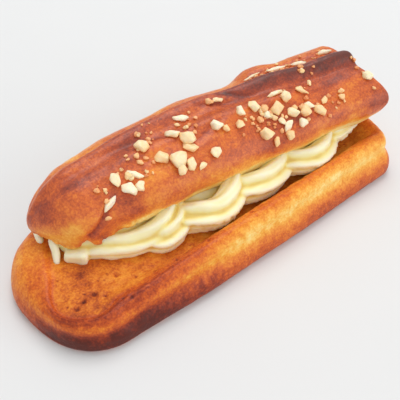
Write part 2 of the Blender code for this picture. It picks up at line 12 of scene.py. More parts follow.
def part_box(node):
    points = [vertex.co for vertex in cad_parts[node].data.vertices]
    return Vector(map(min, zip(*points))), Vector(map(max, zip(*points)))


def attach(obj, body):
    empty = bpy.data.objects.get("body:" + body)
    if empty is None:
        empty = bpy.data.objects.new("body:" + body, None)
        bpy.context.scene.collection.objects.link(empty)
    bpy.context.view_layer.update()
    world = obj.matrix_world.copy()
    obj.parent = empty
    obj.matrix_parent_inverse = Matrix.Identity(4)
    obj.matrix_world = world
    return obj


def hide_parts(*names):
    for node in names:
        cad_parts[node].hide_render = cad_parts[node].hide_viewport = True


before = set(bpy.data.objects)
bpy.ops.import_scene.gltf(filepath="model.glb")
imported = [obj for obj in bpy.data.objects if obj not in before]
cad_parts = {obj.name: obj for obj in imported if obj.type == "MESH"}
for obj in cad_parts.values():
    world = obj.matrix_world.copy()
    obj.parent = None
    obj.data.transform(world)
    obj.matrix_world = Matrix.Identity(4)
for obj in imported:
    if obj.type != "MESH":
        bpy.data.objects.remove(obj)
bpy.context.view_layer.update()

# A filled eclair. +X runs along it to its far end, +Y to its back, +Z up. Sizes are in millimetres.

MM = 0.001

# -------- sizes shared with the CAD solids

BASE_NEAR_X = -71.5
BASE_FAR_X = 74.0
BASE_HALF_WIDTH = 26.4
NEAR_END = 21.0
FAR_END = 11.0
LEAST_END = 4.0
END_ROUNDING = 2.1

# Each pair is (inset from the outline, height as a share of the rim's height).
BASE_SIDE = [
    (0.9, 0.0), (0.2, 0.07), (0.0, 0.2), (0.6, 0.38), (2.4, 0.53), (3.1, 0.63), (2.9, 0.74), (3.3, 0.87),
    (5.0, 0.985), (6.8, 1.0), (8.4, 0.93),
]

# The same round the near end's back corner, where the crust was left whole and slopes up to the hollow.
NOSE_SIDE = [
    (0.9, 0.0), (0.2, 0.07), (0.0, 0.2), (0.3, 0.38), (0.9, 0.53), (1.7, 0.63), (2.9, 0.74), (4.9, 0.86),
    (8.0, 0.95), (11.0, 1.0), (13.0, 0.95),
]

# Each pair is (angle round the end, value there).
NOSE_SHARE = [(90, 0.0), (118, 0.85), (145, 1.0), (170, 0.82), (188, 0.45), (206, 0.08), (225, 0.0)]
RIM_SHARE = [(180, 0.9), (195, 0.55), (207, 0.42), (220, 0.42), (235, 0.54), (250, 0.66), (270, 1.0)]

# Each pair is (x, value there).
WAIST_DEPTH = [(-72, 0.35), (-50, 0.5), (-20, 0.9), (0, 1.0), (72, 1.0)]
BASE_BEND = [(-72, 2.4), (-50, 1.9), (-20, 0.5), (10, 0.0), (72, 0.0)]
RIM_HEIGHT = [(-72, 11.0), (-55, 11.8), (-30, 14.0), (0, 16.0), (40, 16.5), (72, 16.5)]
BACK_RIM_RISE = 1.0
HOLLOW_FLOOR = [(-72, 10.4), (-55, 10.6), (-40, 9.8), (-20, 9.0), (0, 8.5), (40, 9.0), (72, 10.0)]
HOLLOW_WALL = 4.0
# The waist's (middle, half height) as shares of the way up the side, and how much flatter it gets.
WAIST_AT = (0.5, 0.16)
WAIST_FLATTENED = 1.8

LID_CENTRE = (9.5, 11.0)
LID_TURN = -6.5
LID_NEAR = -67.6
LID_FAR = 65.5
LID_NEAR_ROUNDING = 17.0
LID_FAR_ROUNDING = 5.0
NEAR_POWER = (1.6, 1.9)
NEAR_TIP_SHIFT = 1.6
FAR_POWER = (4.0, 2.0)
LID_END_SLANT = 0.2
LID_FAR_TRIM = 1.6
LID_FAR_UNDERCUT = 3.0
FAR_SHOULDER = 0.07

# Each pair is (distance along the lid from its middle, value there).
CUT_HEIGHT = [(-66, 17.0), (-58, 17.6), (-30, 18.2), (0, 18.0), (30, 18.6), (62, 19.5)]
LID_HEIGHT = [(-66, 12.5), (-45, 15.0), (-20, 17.0), (0, 17.5), (30, 17.5), (62, 17.5)]
LID_FRONT = [(-66, 16.5), (-45, 17.2), (-20, 18.5), (0, 19.0), (62, 18.5)]
LID_BACK = [(-66, 10.5), (-45, 15.0), (-20, 18.5), (0, 19.5), (62, 17.0)]
CREST_ANGLE = [(-66, 100), (-40, 105), (0, 106), (20, 100), (38, 92), (62, 83)]
CREST_SIZE = [(-66, 0.02), (-45, 0.08), (0, 0.12), (40, 0.13), (62, 0.12)]
FRONT_BULGE = [(-66, 0.0), (-20, 0.06), (20, 0.1), (45, 0.2), (65, 0.35)]
MID_RIDGE = [(-66, 0.0), (-40, 0.03), (0, 0.05), (25, 0.06), (45, 0.02), (62, 0.0)]
BACK_LOBE = [
    (-66, 0.04), (-10, 0.05), (10, 0.03), (19, 0.04), (25, 0.17), (30, 0.185), (38, 0.105), (47, 0.08),
    (55, 0.06), (62, 0.09),
]
EDGE_TUCK = [(-66, 0.03), (-45, 0.05), (-30, 0.1), (62, 0.1)]

# Where these forms lie round the lid's arch: (middle angle, half angle).
FRONT_EDGE_AT = (0, 14)
FRONT_BULGE_AT = (28, 22)
FAR_SHOULDER_AT = (58, 14)
BACK_EDGE_AT = (180, 14)
BACK_TUCK = 0.1

# The same, counted from the crest. A groove's first number is its depth.
CREST_AT = (0, 9)
MID_RIDGE_AT = (-30, 8)
BACK_LOBE_AT = (38, 20)
GROOVES_AT = [(0.035, -16, 7), (0.03, 13, 6)]

# Where the lid's front edge sags: (distance along the lid, half length, depth).
EDGE_SAGS = [
    (-59.8, 3, 3.0), (-55.4, 1.5, -1.4), (-50.3, 4.2, 2.8), (-39, 4, 0.6), (-25, 6, 0.5), (8, 9, 0.4),
]
SAG_HALF_ANGLE = 16

# Broad unevenness: (length, height).
BASE_SWELLS = (34.0, 0.45)
LID_SWELLS = (30.0, 0.55)

# Cream: ropes piped with a star nozzle over a core. Each rope is a list of (x, y, z, radius).
ROPE_RIDGES = 7
RIDGE_DEPTH = 0.1
FRONT_ROPES = [
    [(-51, 13, 14, 3.0), (-48, 7, 12.4, 3.2), (-42, 2, 12.9, 3.9), (-33, -3, 12.9, 4.0),
     (-24, -4, 14.6, 4.2), (-16, 1, 17.0, 4.0)],
    [(-32, 0, 11.5, 3.5), (-25, -7, 12.0, 4.2), (-19, -6, 13.5, 4.0), (-14, 2, 15.0, 3.5)],
    [(-20, 0, 13, 4.0), (-13, -7, 14, 4.8), (-5, -10.5, 14.3, 4.9), (3, -7.5, 15.5, 4.8), (9, 0, 17, 4.0)],
    [(-1, -2, 14, 4.0), (8, -8.5, 14.6, 4.7), (17, -10.5, 15, 4.9), (25, -7.5, 16, 4.6), (29, 0, 17, 4.0)],
    [(21, -2, 15, 4.0), (28, -10, 16, 4.2), (37, -13.5, 15.8, 4.5), (45, -10.5, 16.4, 4.2),
     (50, -2, 17, 3.5)],
    [(42, -6, 16.5, 3.0), (50, -10.5, 17.0, 2.7), (59, -10, 17.5, 2.1), (66.5, -8.5, 17.4, 1.6)],
]
NEAR_CURLS = [
    [(-54, 21, 17.5, 1.6), (-56, 18, 14.5, 1.3), (-56, 16, 12.0, 0.9)],
    [(-51, 14, 17.0, 1.6), (-54, 12.0, 15.2, 1.3), (-54.8, 9.2, 13.0, 1.1), (-56.5, 6.8, 10.4, 0.9)],
]
# The ropes at the back are alike. Each place is (x from the start, y from the lid's back edge, z, radius).
BACK_ROPE_STARTS = [-44, -24, -4, 16, 36]
BACK_ROPE = [
    (-6, -9, -1, 3.8), (2, -1.5, 0, 4.6), (10, 0, 0.5, 4.8), (18, -3, 1.5, 4.4), (22, -10, 2, 3.6),
]
BACK_ROPE_HEIGHT = 14.8
BACK_ROPE_LIMIT = 19.5
BACK_EDGE = 16.0
# A broken lump at the near end: its middle, half its width, depth and height, its turn in degrees, and its
# size at places along its width.
LUMP_MIDDLE = (-50.3, 4.6, 12.2)
LUMP_HALF = (3.6, 2.2, 2.4)
LUMP_TURN = -42.0
LUMP_SECTIONS = [(-1.05, 0.55), (-0.9, 0.8), (-0.5, 0.9), (0.0, 0.94), (0.5, 1.06), (0.9, 1.0), (1.0, 0.7)]
# Cross-sections of the core: (x, middle y, half width).
CORE = [(-50, 12, 6), (-42, 12, 12), (-20, 10.5, 13), (20, 6, 15), (50, 3, 14), (64, 2, 9)]
CORE_MIDDLE = 13.5
CORE_HALF_HEIGHT = 6.0

# Chopped nuts. Each large piece is (x, y, length, width, turn in degrees) as seen from above.
LARGE_NUTS = [
    (-12, 2, 6.9, 5.0, 51), (-5, 6, 5.1, 4.4, 110), (20, -5, 4.8, 3.9, 143), (28, -1, 4.7, 3.7, 37),
    (-19, 11, 4.4, 4.0, 117), (-16, 5, 4.4, 3.7, 149), (-30, 3, 4.3, 4.0, 145), (-32, 7, 4.3, 3.4, 43),
    (36, -7, 4.1, 3.7, 119), (33, 0, 3.8, 3.4, 22), (41, -9, 4.5, 3.1, 130), (6, 4, 4.2, 3.3, 145),
    (0, -2, 4.2, 3.2, 50), (-8, 10, 5.5, 2.6, 122), (-13, -5, 3.8, 3.6, 169), (32, -5, 4.1, 3.1, 148),
    (21, 3, 4.0, 3.0, 122), (-37, 4, 5.8, 2.1, 45), (-26, 5, 5.5, 1.8, 129), (31, 3, 5.9, 2.0, 178),
    (-6, 3, 5.0, 2.6, 122), (-13, -1, 3.4, 3.1, 20), (16, 4, 3.3, 3.0, 117), (13, 1, 3.3, 2.8, 124),
    (28, -7, 4.8, 2.0, 43), (-9, -1, 4.1, 2.6, 73), (-1, 14, 5.4, 1.9, 141), (33, -9, 3.1, 3.0, 155),
    (27, -9, 3.1, 2.8, 178), (24, -1, 3.4, 2.4, 128), (-27, 2, 3.1, 3.0, 149), (40, -1, 4.6, 2.0, 125),
    (22, -8, 3.0, 2.0, 52), (27, -5, 3.1, 1.9, 84), (45, -7, 3.2, 2.0, 20), (8, 2, 2.6, 2.3, 120),
    (-6, -3, 3.5, 1.9, 26), (39, -6, 3.6, 2.0, 131), (24, 1, 2.7, 2.3, 129), (14, 13, 3.6, 1.4, 148),
    (11, 14, 2.7, 2.0, 128), (46, 1, 3.6, 1.4, 48), (65, -9, 3.7, 3.0, 157), (34, 17, 6.5, 1.4, 170),
    (43, 14, 8.0, 1.8, 171), (51, 11, 5.9, 1.5, 148), (62, 9, 4.9, 1.9, 151),
]

# Each scatter of small pieces is (x, y, spread along, spread across, count).
NUT_SCATTERS = [
    (-38, 4, 3, 4, 2), (-27, 6, 5, 4, 5), (-20, 8, 4, 4, 2), (-15, 15, 4, 3, 3), (-1, 10, 4, 5, 3),
    (22, -2, 6, 5, 10), (36, -3, 6, 4, 4), (49, -8, 5, 4, 3), (47, 6, 4, 2, 2), (64, -6, 2, 8, 2),
]
SMALL_NUT = (1.5, 2.5)
NUT_HEIGHT = 0.75
NUT_SUNK = 0.22
NUT_FULLNESS = 1.18
NUT_CORNERS = 10

# -------- how finely the pieces are built

BASE_AROUND = 600
BASE_SIDE_STEPS = 64
HOLLOW_STEPS = 12
FLOOR_STEP = 0.5
CLEAR_OF_WALL = 0.012
UNDERSIDE_COLUMNS = 24
LID_ALONG = 300
LID_ACROSS = 170
LID_UNDER = 50
ROPE_SIDES = 90
ROPE_STEP = 0.7
CREAM_VOXEL = 0.385

# -------- curves and noise


def along(keys, x):
    """The smooth curve through (position, value) pairs, read at x, which may be an array."""
    at, value = np.array(keys, float).T
    slope = np.gradient(value, at)
    x = np.clip(np.asarray(x, float), at[0], at[-1])
    i = np.clip(np.searchsorted(at, x, side="right") - 1, 0, len(at) - 2)
    width = at[i + 1] - at[i]
    u = (x - at[i]) / width
    start = value[i] * (1 + 2 * u) * (1 - u) ** 2 + slope[i] * width * u * (1 - u) ** 2
    end = value[i + 1] * u * u * (3 - 2 * u) + slope[i + 1] * width * u * u * (u - 1)
    return start + end


def bump(x, centre, width):
    """1 at the centre, falling smoothly to 0 on both sides."""
    return np.exp(-(((x - centre) / width) ** 2))


def blend(a, b, share):
    return a + (b - a) * share


def ease(x, start, end):
    """0 before start and 1 past end, which may also be the smaller of the two."""
    u = np.clip((x - start) / (end - start), 0.0, 1.0)
    return u * u * (3 - 2 * u)


def waviness(x, y, z, size, seed):
    """Smooth unevenness between about -1 and 1, with features of about the given size in mm."""
    draw = np.random.default_rng(seed)
    total = 0.0
    for _ in range(7):
        way = draw.normal(size=3)
        way = way / np.linalg.norm(way) * draw.uniform(0.7, 1.5) / size
        phase = 2 * math.pi * (x * way[0] + y * way[1] + z * way[2]) + draw.uniform(0, 6.3)
        total += np.sin(phase)
    return total / 3.0


def grain(points, size, seed, octaves=3, stretch=(1, 1, 1)):
    """Fractal noise between about -1 and 1 at points in mm, with features of about the given size."""
    offset = Vector((seed * 17.3, seed * 7.9, seed * 3.1))
    places = points * np.array(stretch)
    return np.array([noise.fractal(Vector(p) / size + offset, 0.9, 2.1, octaves) for p in places])


def line_distance(u, v, line):
    """Distance of the points (u, v) from a polyline, and how far along it the nearest place is."""
    best = np.full(u.shape, 1e9)
    place = np.zeros(u.shape)
    for i, ((u0, v0), (u1, v1)) in enumerate(zip(line, line[1:])):
        du, dv = u1 - u0, v1 - v0
        t = np.clip(((u - u0) * du + (v - v0) * dv) / (du * du + dv * dv), 0, 1)
        d = np.hypot(u - u0 - t * du, v - v0 - t * dv)
        place = np.where(d < best, (i + t) / (len(line) - 1), place)
        best = np.minimum(best, d)
    return best, place


def crease(u, v, line, width):
    """1 on a line drawn over the crust, fading to 0 beside it and toward its ends."""
    distance, place = line_distance(u, v, line)
    ends = ease(place, 0.0, 0.2) * ease(place, 1.0, 0.8)
    return bump(distance, 0, width) * (0.25 + 0.75 * ends)


# -------- meshes


def mesh_object(name, points, faces):
    """A mesh object from points in mm."""
    mesh = bpy.data.meshes.new(name)
    mesh.from_pydata([tuple(p) for p in np.asarray(points) * MM], [], faces)
    mesh.polygons.foreach_set("use_smooth", [True] * len(mesh.polygons))
    mesh.update()
    piece = bpy.data.objects.new(name, mesh)
    bpy.context.scene.collection.objects.link(piece)
    return piece


def store(piece, name, values):
    """Keeps one number for each vertex, for the material to read."""
    layer = piece.data.attributes.new(name, "FLOAT", "POINT")
    layer.data.foreach_set("value", np.clip(values, 0, 1).astype(np.float32).ravel())


def vectors(piece, name):
    """A vector for each vertex, its "co" or its "normal"."""
    values = np.empty(len(piece.data.vertices) * 3, np.float32)
    piece.data.vertices.foreach_get(name, values)
    return values.reshape(-1, 3).astype(float)


def positions(piece):
    """The piece's vertices in mm."""
    return vectors(piece, "co") / MM


def push_out(piece, distance):
    """Real relief: each vertex moves along its normal by so many mm."""
    moved = positions(piece) + vectors(piece, "normal") * np.asarray(distance).reshape(-1, 1)
    piece.data.vertices.foreach_set("co", (moved * MM).astype(np.float32).ravel())
    piece.data.update()


def hollowness(piece, rounds):
    """How far in a hollow each vertex lies, in mm: how much smoothing so often would raise it."""
    edges = np.empty(len(piece.data.edges) * 2, np.int32)
    piece.data.edges.foreach_get("vertices", edges)
    a, b = edges.reshape(-1, 2).T
    points = positions(piece)
    size = len(points)
    joined = np.maximum(np.bincount(edges, minlength=size), 1)
    smooth = points
    for _ in range(rounds):
        sums = [np.bincount(a, c[b], size) + np.bincount(b, c[a], size) for c in smooth.T]
        smooth = np.stack(sums, -1) / joined[:, None]
    return ((smooth - points) * vectors(piece, "normal")).sum(1)


def outward(piece):
    """Turns all faces outward."""
    bm = bmesh.new()
    bm.from_mesh(piece.data)
    bmesh.ops.recalc_face_normals(bm, faces=bm.faces)
    bm.to_mesh(piece.data)
    bm.free()
    piece.data.update()


def grid_faces(rows):
    """Quads between rows of point numbers."""
    faces = []
    for a, b in zip(rows, rows[1:]):
        faces += [(a[k], a[k + 1], b[k + 1], b[k]) for k in range(len(a) - 1)]
    return faces


def ring_faces(first, rings, count):
    """Quads between closed rings whose points are numbered in order from first."""
    starts = range(first, first + rings * count, count)
    return grid_faces([[*range(start, start + count), start] for start in starts])


# -------- lower half


def outline_angles(count):
    """The angle round the end, and the middle it turns about, at evenly spaced places round the outline."""
    far_middle, near_middle = BASE_FAR_X - FAR_END, BASE_NEAR_X + NEAR_END
    fine = np.concatenate([np.linspace(0, 90, 200), np.full(200, 90.0), np.linspace(90, 180, 200)])
    slide = np.concatenate([np.zeros(200), np.linspace(0, 1, 200), np.ones(200)])
    middle = blend(far_middle, near_middle, slide)
    x, y = rounded_end(fine, middle, 0.0)
    run = np.concatenate([[0], np.cumsum(np.hypot(np.diff(x), np.diff(y)))])
    even = np.linspace(0, run[-1], count // 2 + 1)
    back_angle = np.interp(even, run, fine)
    back_middle = np.interp(even, run, middle)
    angle = np.concatenate([back_angle, 360 - back_angle[-2:0:-1]])
    return angle, np.concatenate([back_middle, back_middle[-2:0:-1]])


def rounded_end(angle, middle, inset):
    """The place so far inside the unbent outline, at an angle round an end's middle."""
    c, s = np.cos(np.radians(angle)), np.sin(np.radians(angle))
    end = np.where(c < 0, NEAR_END, FAR_END) - inset
    short = np.maximum(LEAST_END - end, 0.0)
    x = middle - short * np.sign(c) + (end + short) * np.sign(c) * np.abs(c) ** (2 / END_ROUNDING)
    y = (BASE_HALF_WIDTH - inset) * np.sign(s) * np.abs(s) ** (2 / END_ROUNDING)
    return x, y


def base_outline(around, inset):
    angle, middle = around
    x, y = rounded_end(angle, middle, inset)
    return x, y + along(BASE_BEND, x)


def rim_height(x, y):
    return along(RIM_HEIGHT, x) + BACK_RIM_RISE * ease(y, -8, 22)


def side_profile(side, steps):
    """The profile's insets and height shares, at so many steps."""
    place = np.linspace(0, len(side) - 1, steps)
    return [along(list(enumerate(values)), place) for values in zip(*side)]


def nose_weight(angle):
    return np.where((angle > 90) & (angle < 225), along(NOSE_SHARE, angle), 0.0)


def side_at(around, steps):
    """The profile at each point round the outline: insets and height shares, one row for each step."""
    angle, _ = around
    x, _ = base_outline(around, 0.0)
    nose = nose_weight(angle)
    narrow = np.where((angle > 180) & (angle < 270), along(RIM_SHARE, angle), 1.0)
    inset, share = side_profile(BASE_SIDE, steps)
    nose_inset, nose_share = side_profile(NOSE_SIDE, steps)
    waist = bump(np.arange(steps) / (steps - 1), *WAIST_AT)
    flat = np.outer(waist, 1 - along(WAIST_DEPTH, x)) * WAIST_FLATTENED
    inset = (inset[:, None] - flat) * narrow
    return blend(inset, nose_inset[:, None], nose), blend(share[:, None], nose_share[:, None], nose)


def base_rings():
    """Rings from the underside's edge up to the hollow's floor, and how far up the profile each lies."""
    around = outline_angles(BASE_AROUND)
    length, height = BASE_SWELLS
    rings, marks = [], []
    insets, shares = side_at(around, BASE_SIDE_STEPS)
    for k, (inset, share) in enumerate(zip(insets, shares)):
        swell = height * waviness(*base_outline(around, 0.0), 20 * share, length, seed=3)
        swell = swell * np.minimum(1, 6 * share)
        x, y = base_outline(around, inset - swell)
        rings.append(np.stack([x, y, share * (rim_height(x, y) + 0.5 * swell)], -1))
        marks.append(k / (BASE_SIDE_STEPS - 1))
    edge_height = rings[-1][:, 2]
    for step in np.linspace(0, 1, HOLLOW_STEPS + 1)[1:]:
        x, y = base_outline(around, insets[-1] + HOLLOW_WALL * step)
        z = blend(edge_height, along(HOLLOW_FLOOR, x), 0.55 * step + 0.45 * step * step)
        rings.append(np.stack([x, y, z], -1))
        marks.append(1 + step)
    return rings, marks, nose_weight(around[0])


def fill_underside(points, faces, columns):
    """Fills the first ring with quads from its back to its front, adding the new points to the list."""
    count, half = BASE_AROUND, BASE_AROUND // 2
    rows = []
    for i in range(1, half):
        back, front = points[i], points[count - i]
        rows.append([i, *range(len(points), len(points) + columns - 1), count - i])
        points += [blend(back, front, k / columns) for k in range(1, columns)]
    faces += grid_faces(rows)
    for tip, row in ((0, rows[0]), (half, rows[-1])):
        faces += [(tip, row[k], row[k + 1]) for k in range(columns)]


def inside_ring(x, y, ring):
    """Which of the places lie inside the closed ring, by how often a line to the far left meets it."""
    inside = np.zeros(len(x), bool)
    for (ax, ay), (bx, by) in zip(ring, np.roll(ring, -1, 0)):
        meets = (ay > y) != (by > y)
        inside ^= meets & (x < ax + (y - ay) * (bx - ax) / (by - ay if by != ay else 1.0))
    return inside


def fill_floor(points, faces, first, count):
    """Fills the ring of points with triangles over an even grid of new points on the hollow's floor."""
    ring = np.array(points[first:first + count])[:, :2]
    low, high = ring.min(0), ring.max(0)
    x, y = np.meshgrid(np.arange(low[0], high[0], FLOOR_STEP), np.arange(low[1], high[1], FLOOR_STEP))
    x, y = x.ravel(), y.ravel()
    kept = inside_ring(x, y, blend(ring, ring.mean(0), CLEAR_OF_WALL))
    places = [Vector(p) for p in ring] + [Vector(p) for p in zip(x[kept], y[kept])]
    border = [(i, (i + 1) % count) for i in range(count)]
    _, _, triangles, origin, _, _ = delaunay_2d_cdt(places, border, [list(range(count))], 1, 1e-5)
    points += [np.array([px, py, along(HOLLOW_FLOOR, px)]) for px, py in zip(x[kept], y[kept])]
    faces += [tuple(first + origin[i][0] for i in triangle) for triangle in triangles]


# How browned the base's crust is, from 0, pale gold, to 1, darkest, with painted shade on the near side.
# Each pair is (place up the side, value).
FAR_SIDE_BROWN = [
    (0.0, 0.66), (0.06, 0.72), (0.12, 0.64), (0.2, 0.58), (0.28, 0.54), (0.36, 0.38), (0.44, 0.2),
    (0.55, 0.13), (0.66, 0.18), (0.74, 0.29), (0.8, 0.39), (0.86, 0.46), (1.0, 0.45),
]
# The darkest stretch low on the near front is painted shade over the browning.
NEAR_SIDE_BROWN_AND_SHADE = [
    (0.0, 0.6), (0.06, 0.74), (0.14, 0.97), (0.22, 1.0), (0.32, 0.94), (0.42, 0.82), (0.52, 0.66),
    (0.62, 0.53), (0.72, 0.6), (0.82, 0.68), (1.0, 0.62),
]
NOSE_BROWN = [(0.0, 0.56), (0.1, 0.58), (0.25, 0.48), (0.45, 0.42), (0.7, 0.41), (0.9, 0.46), (1.0, 0.52)]


def base_browning_and_shade(x, mark, nose):
    """How browned the base's crust is at x and so far up the profile, which past 1 is in the hollow. Low on
    the near front it carries painted shade.
    """
    near = ease(x, 0, -48)
    outer = blend(along(FAR_SIDE_BROWN, mark), along(NEAR_SIDE_BROWN_AND_SHADE, mark), near)
    outer = blend(outer, along(NOSE_BROWN, mark), nose)
    edge = blend(blend(0.45, 0.62, near), 0.46, nose)
    inner = blend(edge, blend(0.4, 0.5, near), ease(mark, 1.0, 1.5))
    return np.where(mark <= 1, outer, inner)


# Thin grooves along the near front's side, as places up the profile. The colour is darkened a little in them
# as painted shade.
RIM_LINES = [0.74, 0.82, 0.9]
RIM_LINE_WIDTH = 0.03
FLOOR_MARK = 2.0
UNDERSIDE_BROWN = 0.62


def base_surface(points, mark, nose, under):
    """Relief in mm, browning with painted shade, and the share of open crumb at each of the base's points.
    """
    x, y, z = points.T
    patches = grain(points, 16, seed=4)
    fine = grain(points, 2.6, seed=5, octaves=4)
    pores = crumb_pores(points)
    crumb = ease(mark, 1.0, 1.3)
    bubble, bubble_depth = burst_bubbles(x, y)
    above = (z > 5) & (mark > 0.7)
    upright = grain(points, 1.6, seed=9, stretch=(1.0, 1.0, 0.15))
    upright = upright * ease(mark, 0.1, 0.3) * ease(mark, 1.0, 0.8)
    near_front = ease(x, -10, -35) * ease(y, 0, -8) * (mark <= 1)
    lines = near_front * sum(bump(mark, place, RIM_LINE_WIDTH) for place in RIM_LINES)
    relief = 0.1 * grain(points, 6, seed=6) + 0.05 * fine * (1 - crumb)
    relief += crumb * (0.28 * grain(points, 3.0, seed=7, octaves=4) - 0.35 * pores)
    relief = relief - above * bubble_depth + 0.07 * upright - 0.18 * lines
    # The rim's grooves are darkened a little here: painted shade.
    browning_and_light = base_browning_and_shade(x, mark, nose) + 0.05 * patches + 0.08 * upright + 0.06 * lines
    # Pits of the crumb and burst bubbles are darkened: painted shade.
    browning_and_light += crumb * (0.1 * patches + 0.08 * fine + 0.25 * pores) + 0.32 * above * bubble
    relief = np.where(under, 0.0, relief * ease(z, 0.0, 1.5))
    return relief, np.where(under, UNDERSIDE_BROWN + 0.1 * patches, browning_and_light), crumb


def make_base_crust():
    rings, marks, nose = base_rings()
    points = [p for ring in rings for p in ring]
    faces = ring_faces(0, len(rings), BASE_AROUND)
    ringed = len(points)
    fill_floor(points, faces, ringed - BASE_AROUND, BASE_AROUND)
    floor_end = len(points)
    fill_underside(points, faces, UNDERSIDE_COLUMNS)
    points = np.array(points)
    under = np.arange(len(points)) >= floor_end
    mark = np.where(under, 0.0, FLOOR_MARK)
    mark[:ringed] = np.repeat(marks, BASE_AROUND)
    nose = np.concatenate([np.tile(nose, len(rings)), np.zeros(len(points) - ringed)])
    piece = mesh_object("base_crust", points, faces)
    outward(piece)
    relief, browning_and_light, crumb = base_surface(points, mark, nose, under)
    push_out(piece, relief)
    store(piece, "browning_and_light", browning_and_light)
    store(piece, "crumb", crumb)
    return piece


# Bubbles that burst open in the hollow's floor: (x, y, radius, depth). Their colour is darkened inside as
# painted shade.
BUBBLES = [
    (-53.8, -10.0, 0.9, 0.9), (-57.8, -10.3, 0.8, 0.8), (-60.6, -11.4, 0.8, 0.7), (-44.4, -7.9, 0.8, 0.8),
    (-46.5, -19.0, 0.7, 0.7), (-48.5, -17.5, 0.5, 0.6), (-56.0, -8.2, 0.4, 0.4), (-51.5, -12.5, 0.4, 0.4),
    (-59.5, -9.4, 0.4, 0.5), (-62.5, -9.0, 0.4, 0.4), (-50.0, -6.0, 0.4, 0.4), (-40.0, -12.0, 0.5, 0.5),
    (-35.0, -15.0, 0.6, 0.6), (-28.0, -17.0, 0.5, 0.5), (-16.0, -18.0, 0.6, 0.6), (2.0, -18.5, 0.5, 0.5),
]
PORE_SPACING = 1.6


def burst_bubbles(x, y):
    """1 in the middle of a bubble, 0 outside, and the depth there."""
    inside, depth = np.zeros(len(x)), np.zeros(len(x))
    for middle_x, middle_y, radius, deep in BUBBLES:
        pit = bump(np.hypot(x - middle_x, (y - middle_y) * 1.2), 0, radius)
        inside = np.maximum(inside, pit)
        depth = np.maximum(depth, pit * deep)
    return inside, depth


def crumb_pores(points):
    """Small round pits of an open crumb: 1 in a pit, 0 between."""
    distance = np.array([noise.voronoi(Vector(p) / PORE_SPACING)[0][0] for p in points])
    return ease(distance, 0.3, 0.12) * ease(grain(points, 14, seed=8), -0.1, 0.35)


# -------- upper half


def lid_radius(s, angle):
    """How far the arch stands out at each angle, as a share of its width and height."""
    past_crest = angle - along(CREST_ANGLE, s)
    radius = 1.0 + along(CREST_SIZE, s) * bump(past_crest, *CREST_AT)
    radius += along(FRONT_BULGE, s) * bump(angle, *FRONT_BULGE_AT)
    radius += along(BACK_LOBE, s) * bump(past_crest, *BACK_LOBE_AT)
    radius += along(MID_RIDGE, s) * bump(past_crest, *MID_RIDGE_AT)
    radius -= sum(depth * bump(past_crest, *place) for depth, *place in GROOVES_AT)
    radius += FAR_SHOULDER * bump(angle, *FAR_SHOULDER_AT) * ease(s, 40, 58)
    radius -= along(EDGE_TUCK, s) * bump(angle, *FRONT_EDGE_AT)
    return radius - BACK_TUCK * bump(angle, *BACK_EDGE_AT)


def lid_end_share(s, angle):
    """How the arch shrinks toward its ends, from 1 to 0."""
    low = 1 - np.sin(np.radians(angle))
    near_power, far_power = [blend(top, bottom, low) for bottom, top in (NEAR_POWER, FAR_POWER)]
    near = np.clip((LID_NEAR + LID_NEAR_ROUNDING - s) / LID_NEAR_ROUNDING, 0, 1)
    far = np.clip((s - LID_FAR + LID_FAR_ROUNDING) / LID_FAR_ROUNDING, 0, 1)
    return (1 - near**near_power) ** (1 / near_power) * (1 - far**far_power) ** (1 / far_power)


def edge_sag(s):
    return sum(depth * bump(s, place, half) for place, half, depth in EDGE_SAGS)


def lid_stations(count):
    """Places along the lid, closer together toward its ends."""
    u = np.linspace(-1, 1, count)
    even = 0.5 * u + 0.5 * np.sin(u * math.pi / 2)
    return blend(LID_NEAR, LID_FAR, (even + 1) / 2)


def lid_place(points):
    turn = math.radians(LID_TURN)
    x = LID_CENTRE[0] + points[..., 0] * math.cos(turn) - points[..., 1] * math.sin(turn)
    y = LID_CENTRE[1] + points[..., 0] * math.sin(turn) + points[..., 1] * math.cos(turn)
    return np.stack([x, y, points[..., 2]], -1)


def lid_arch(s, angle):
    """The lid's surface at s along it, over the given angles."""
    swell = LID_SWELLS[1] * waviness(s, 0.3 * angle, 0, LID_SWELLS[0], seed=5) / along(LID_HEIGHT, s)
    radius = (lid_radius(s, angle) + swell) * lid_end_share(s, angle)
    width = np.where(angle < 90, along(LID_FRONT, s), along(LID_BACK, s))
    y = -np.cos(np.radians(angle)) * width * radius + NEAR_TIP_SHIFT * ease(s, -56, LID_NEAR)
    z = along(CUT_HEIGHT, s) + np.sin(np.radians(angle)) * along(LID_HEIGHT, s) * radius
    z -= edge_sag(s) * bump(angle, 0, SAG_HALF_ANGLE)
    x = s - LID_END_SLANT * (y + LID_FRONT[-1][1]) * ease(s, 20, LID_FAR)
    low = LID_FAR_TRIM * ease(angle, 85, 50) + LID_FAR_UNDERCUT * bump(angle, *FRONT_EDGE_AT)
    return lid_place(np.stack([x - low * ease(s, 45, LID_FAR), y, z], -1))


# How browned the lid's crust is, besides its even tone. The crest's band widens toward the far end, where it
# spreads below the crest as painted shade.
EVEN_BROWN = 0.52
CREST_BROWN_AND_SHADE = [(-66, 0.05), (-52, 0.1), (-40, 0.14), (0, 0.18), (20, 0.29), (40, 0.43), (65, 0.46)]
CREST_BAND = [(-66, 7), (0, 8), (20, 8), (40, 9), (65, 11)]

# Browner spots: (how much, middle angle, half angle, middle along the lid, half length).
LID_SPOTS = [(0.16, 30, 14, -41, 5.5), (0.16, 10, 12, -50, 3.5), (-0.18, 22, 20, -59, 5)]

# Stripes that set in along the lid: (how much, middle angle, half angle, from, full).
LID_STRIPES = [(-0.06, 22, 14, 20, -10), (0.1, 62, 20, -30, -50)]

# Areas that set in both round the lid and along it: (how much, angle from, full, place from, full). The
# first two pale the lid's lower front edge as painted highlight.
LID_AREAS = [(-0.5, 16, 3, -48, -36), (-0.2, 27, 12, -14, 4), (0.2, 50, 20, 46, 60)]


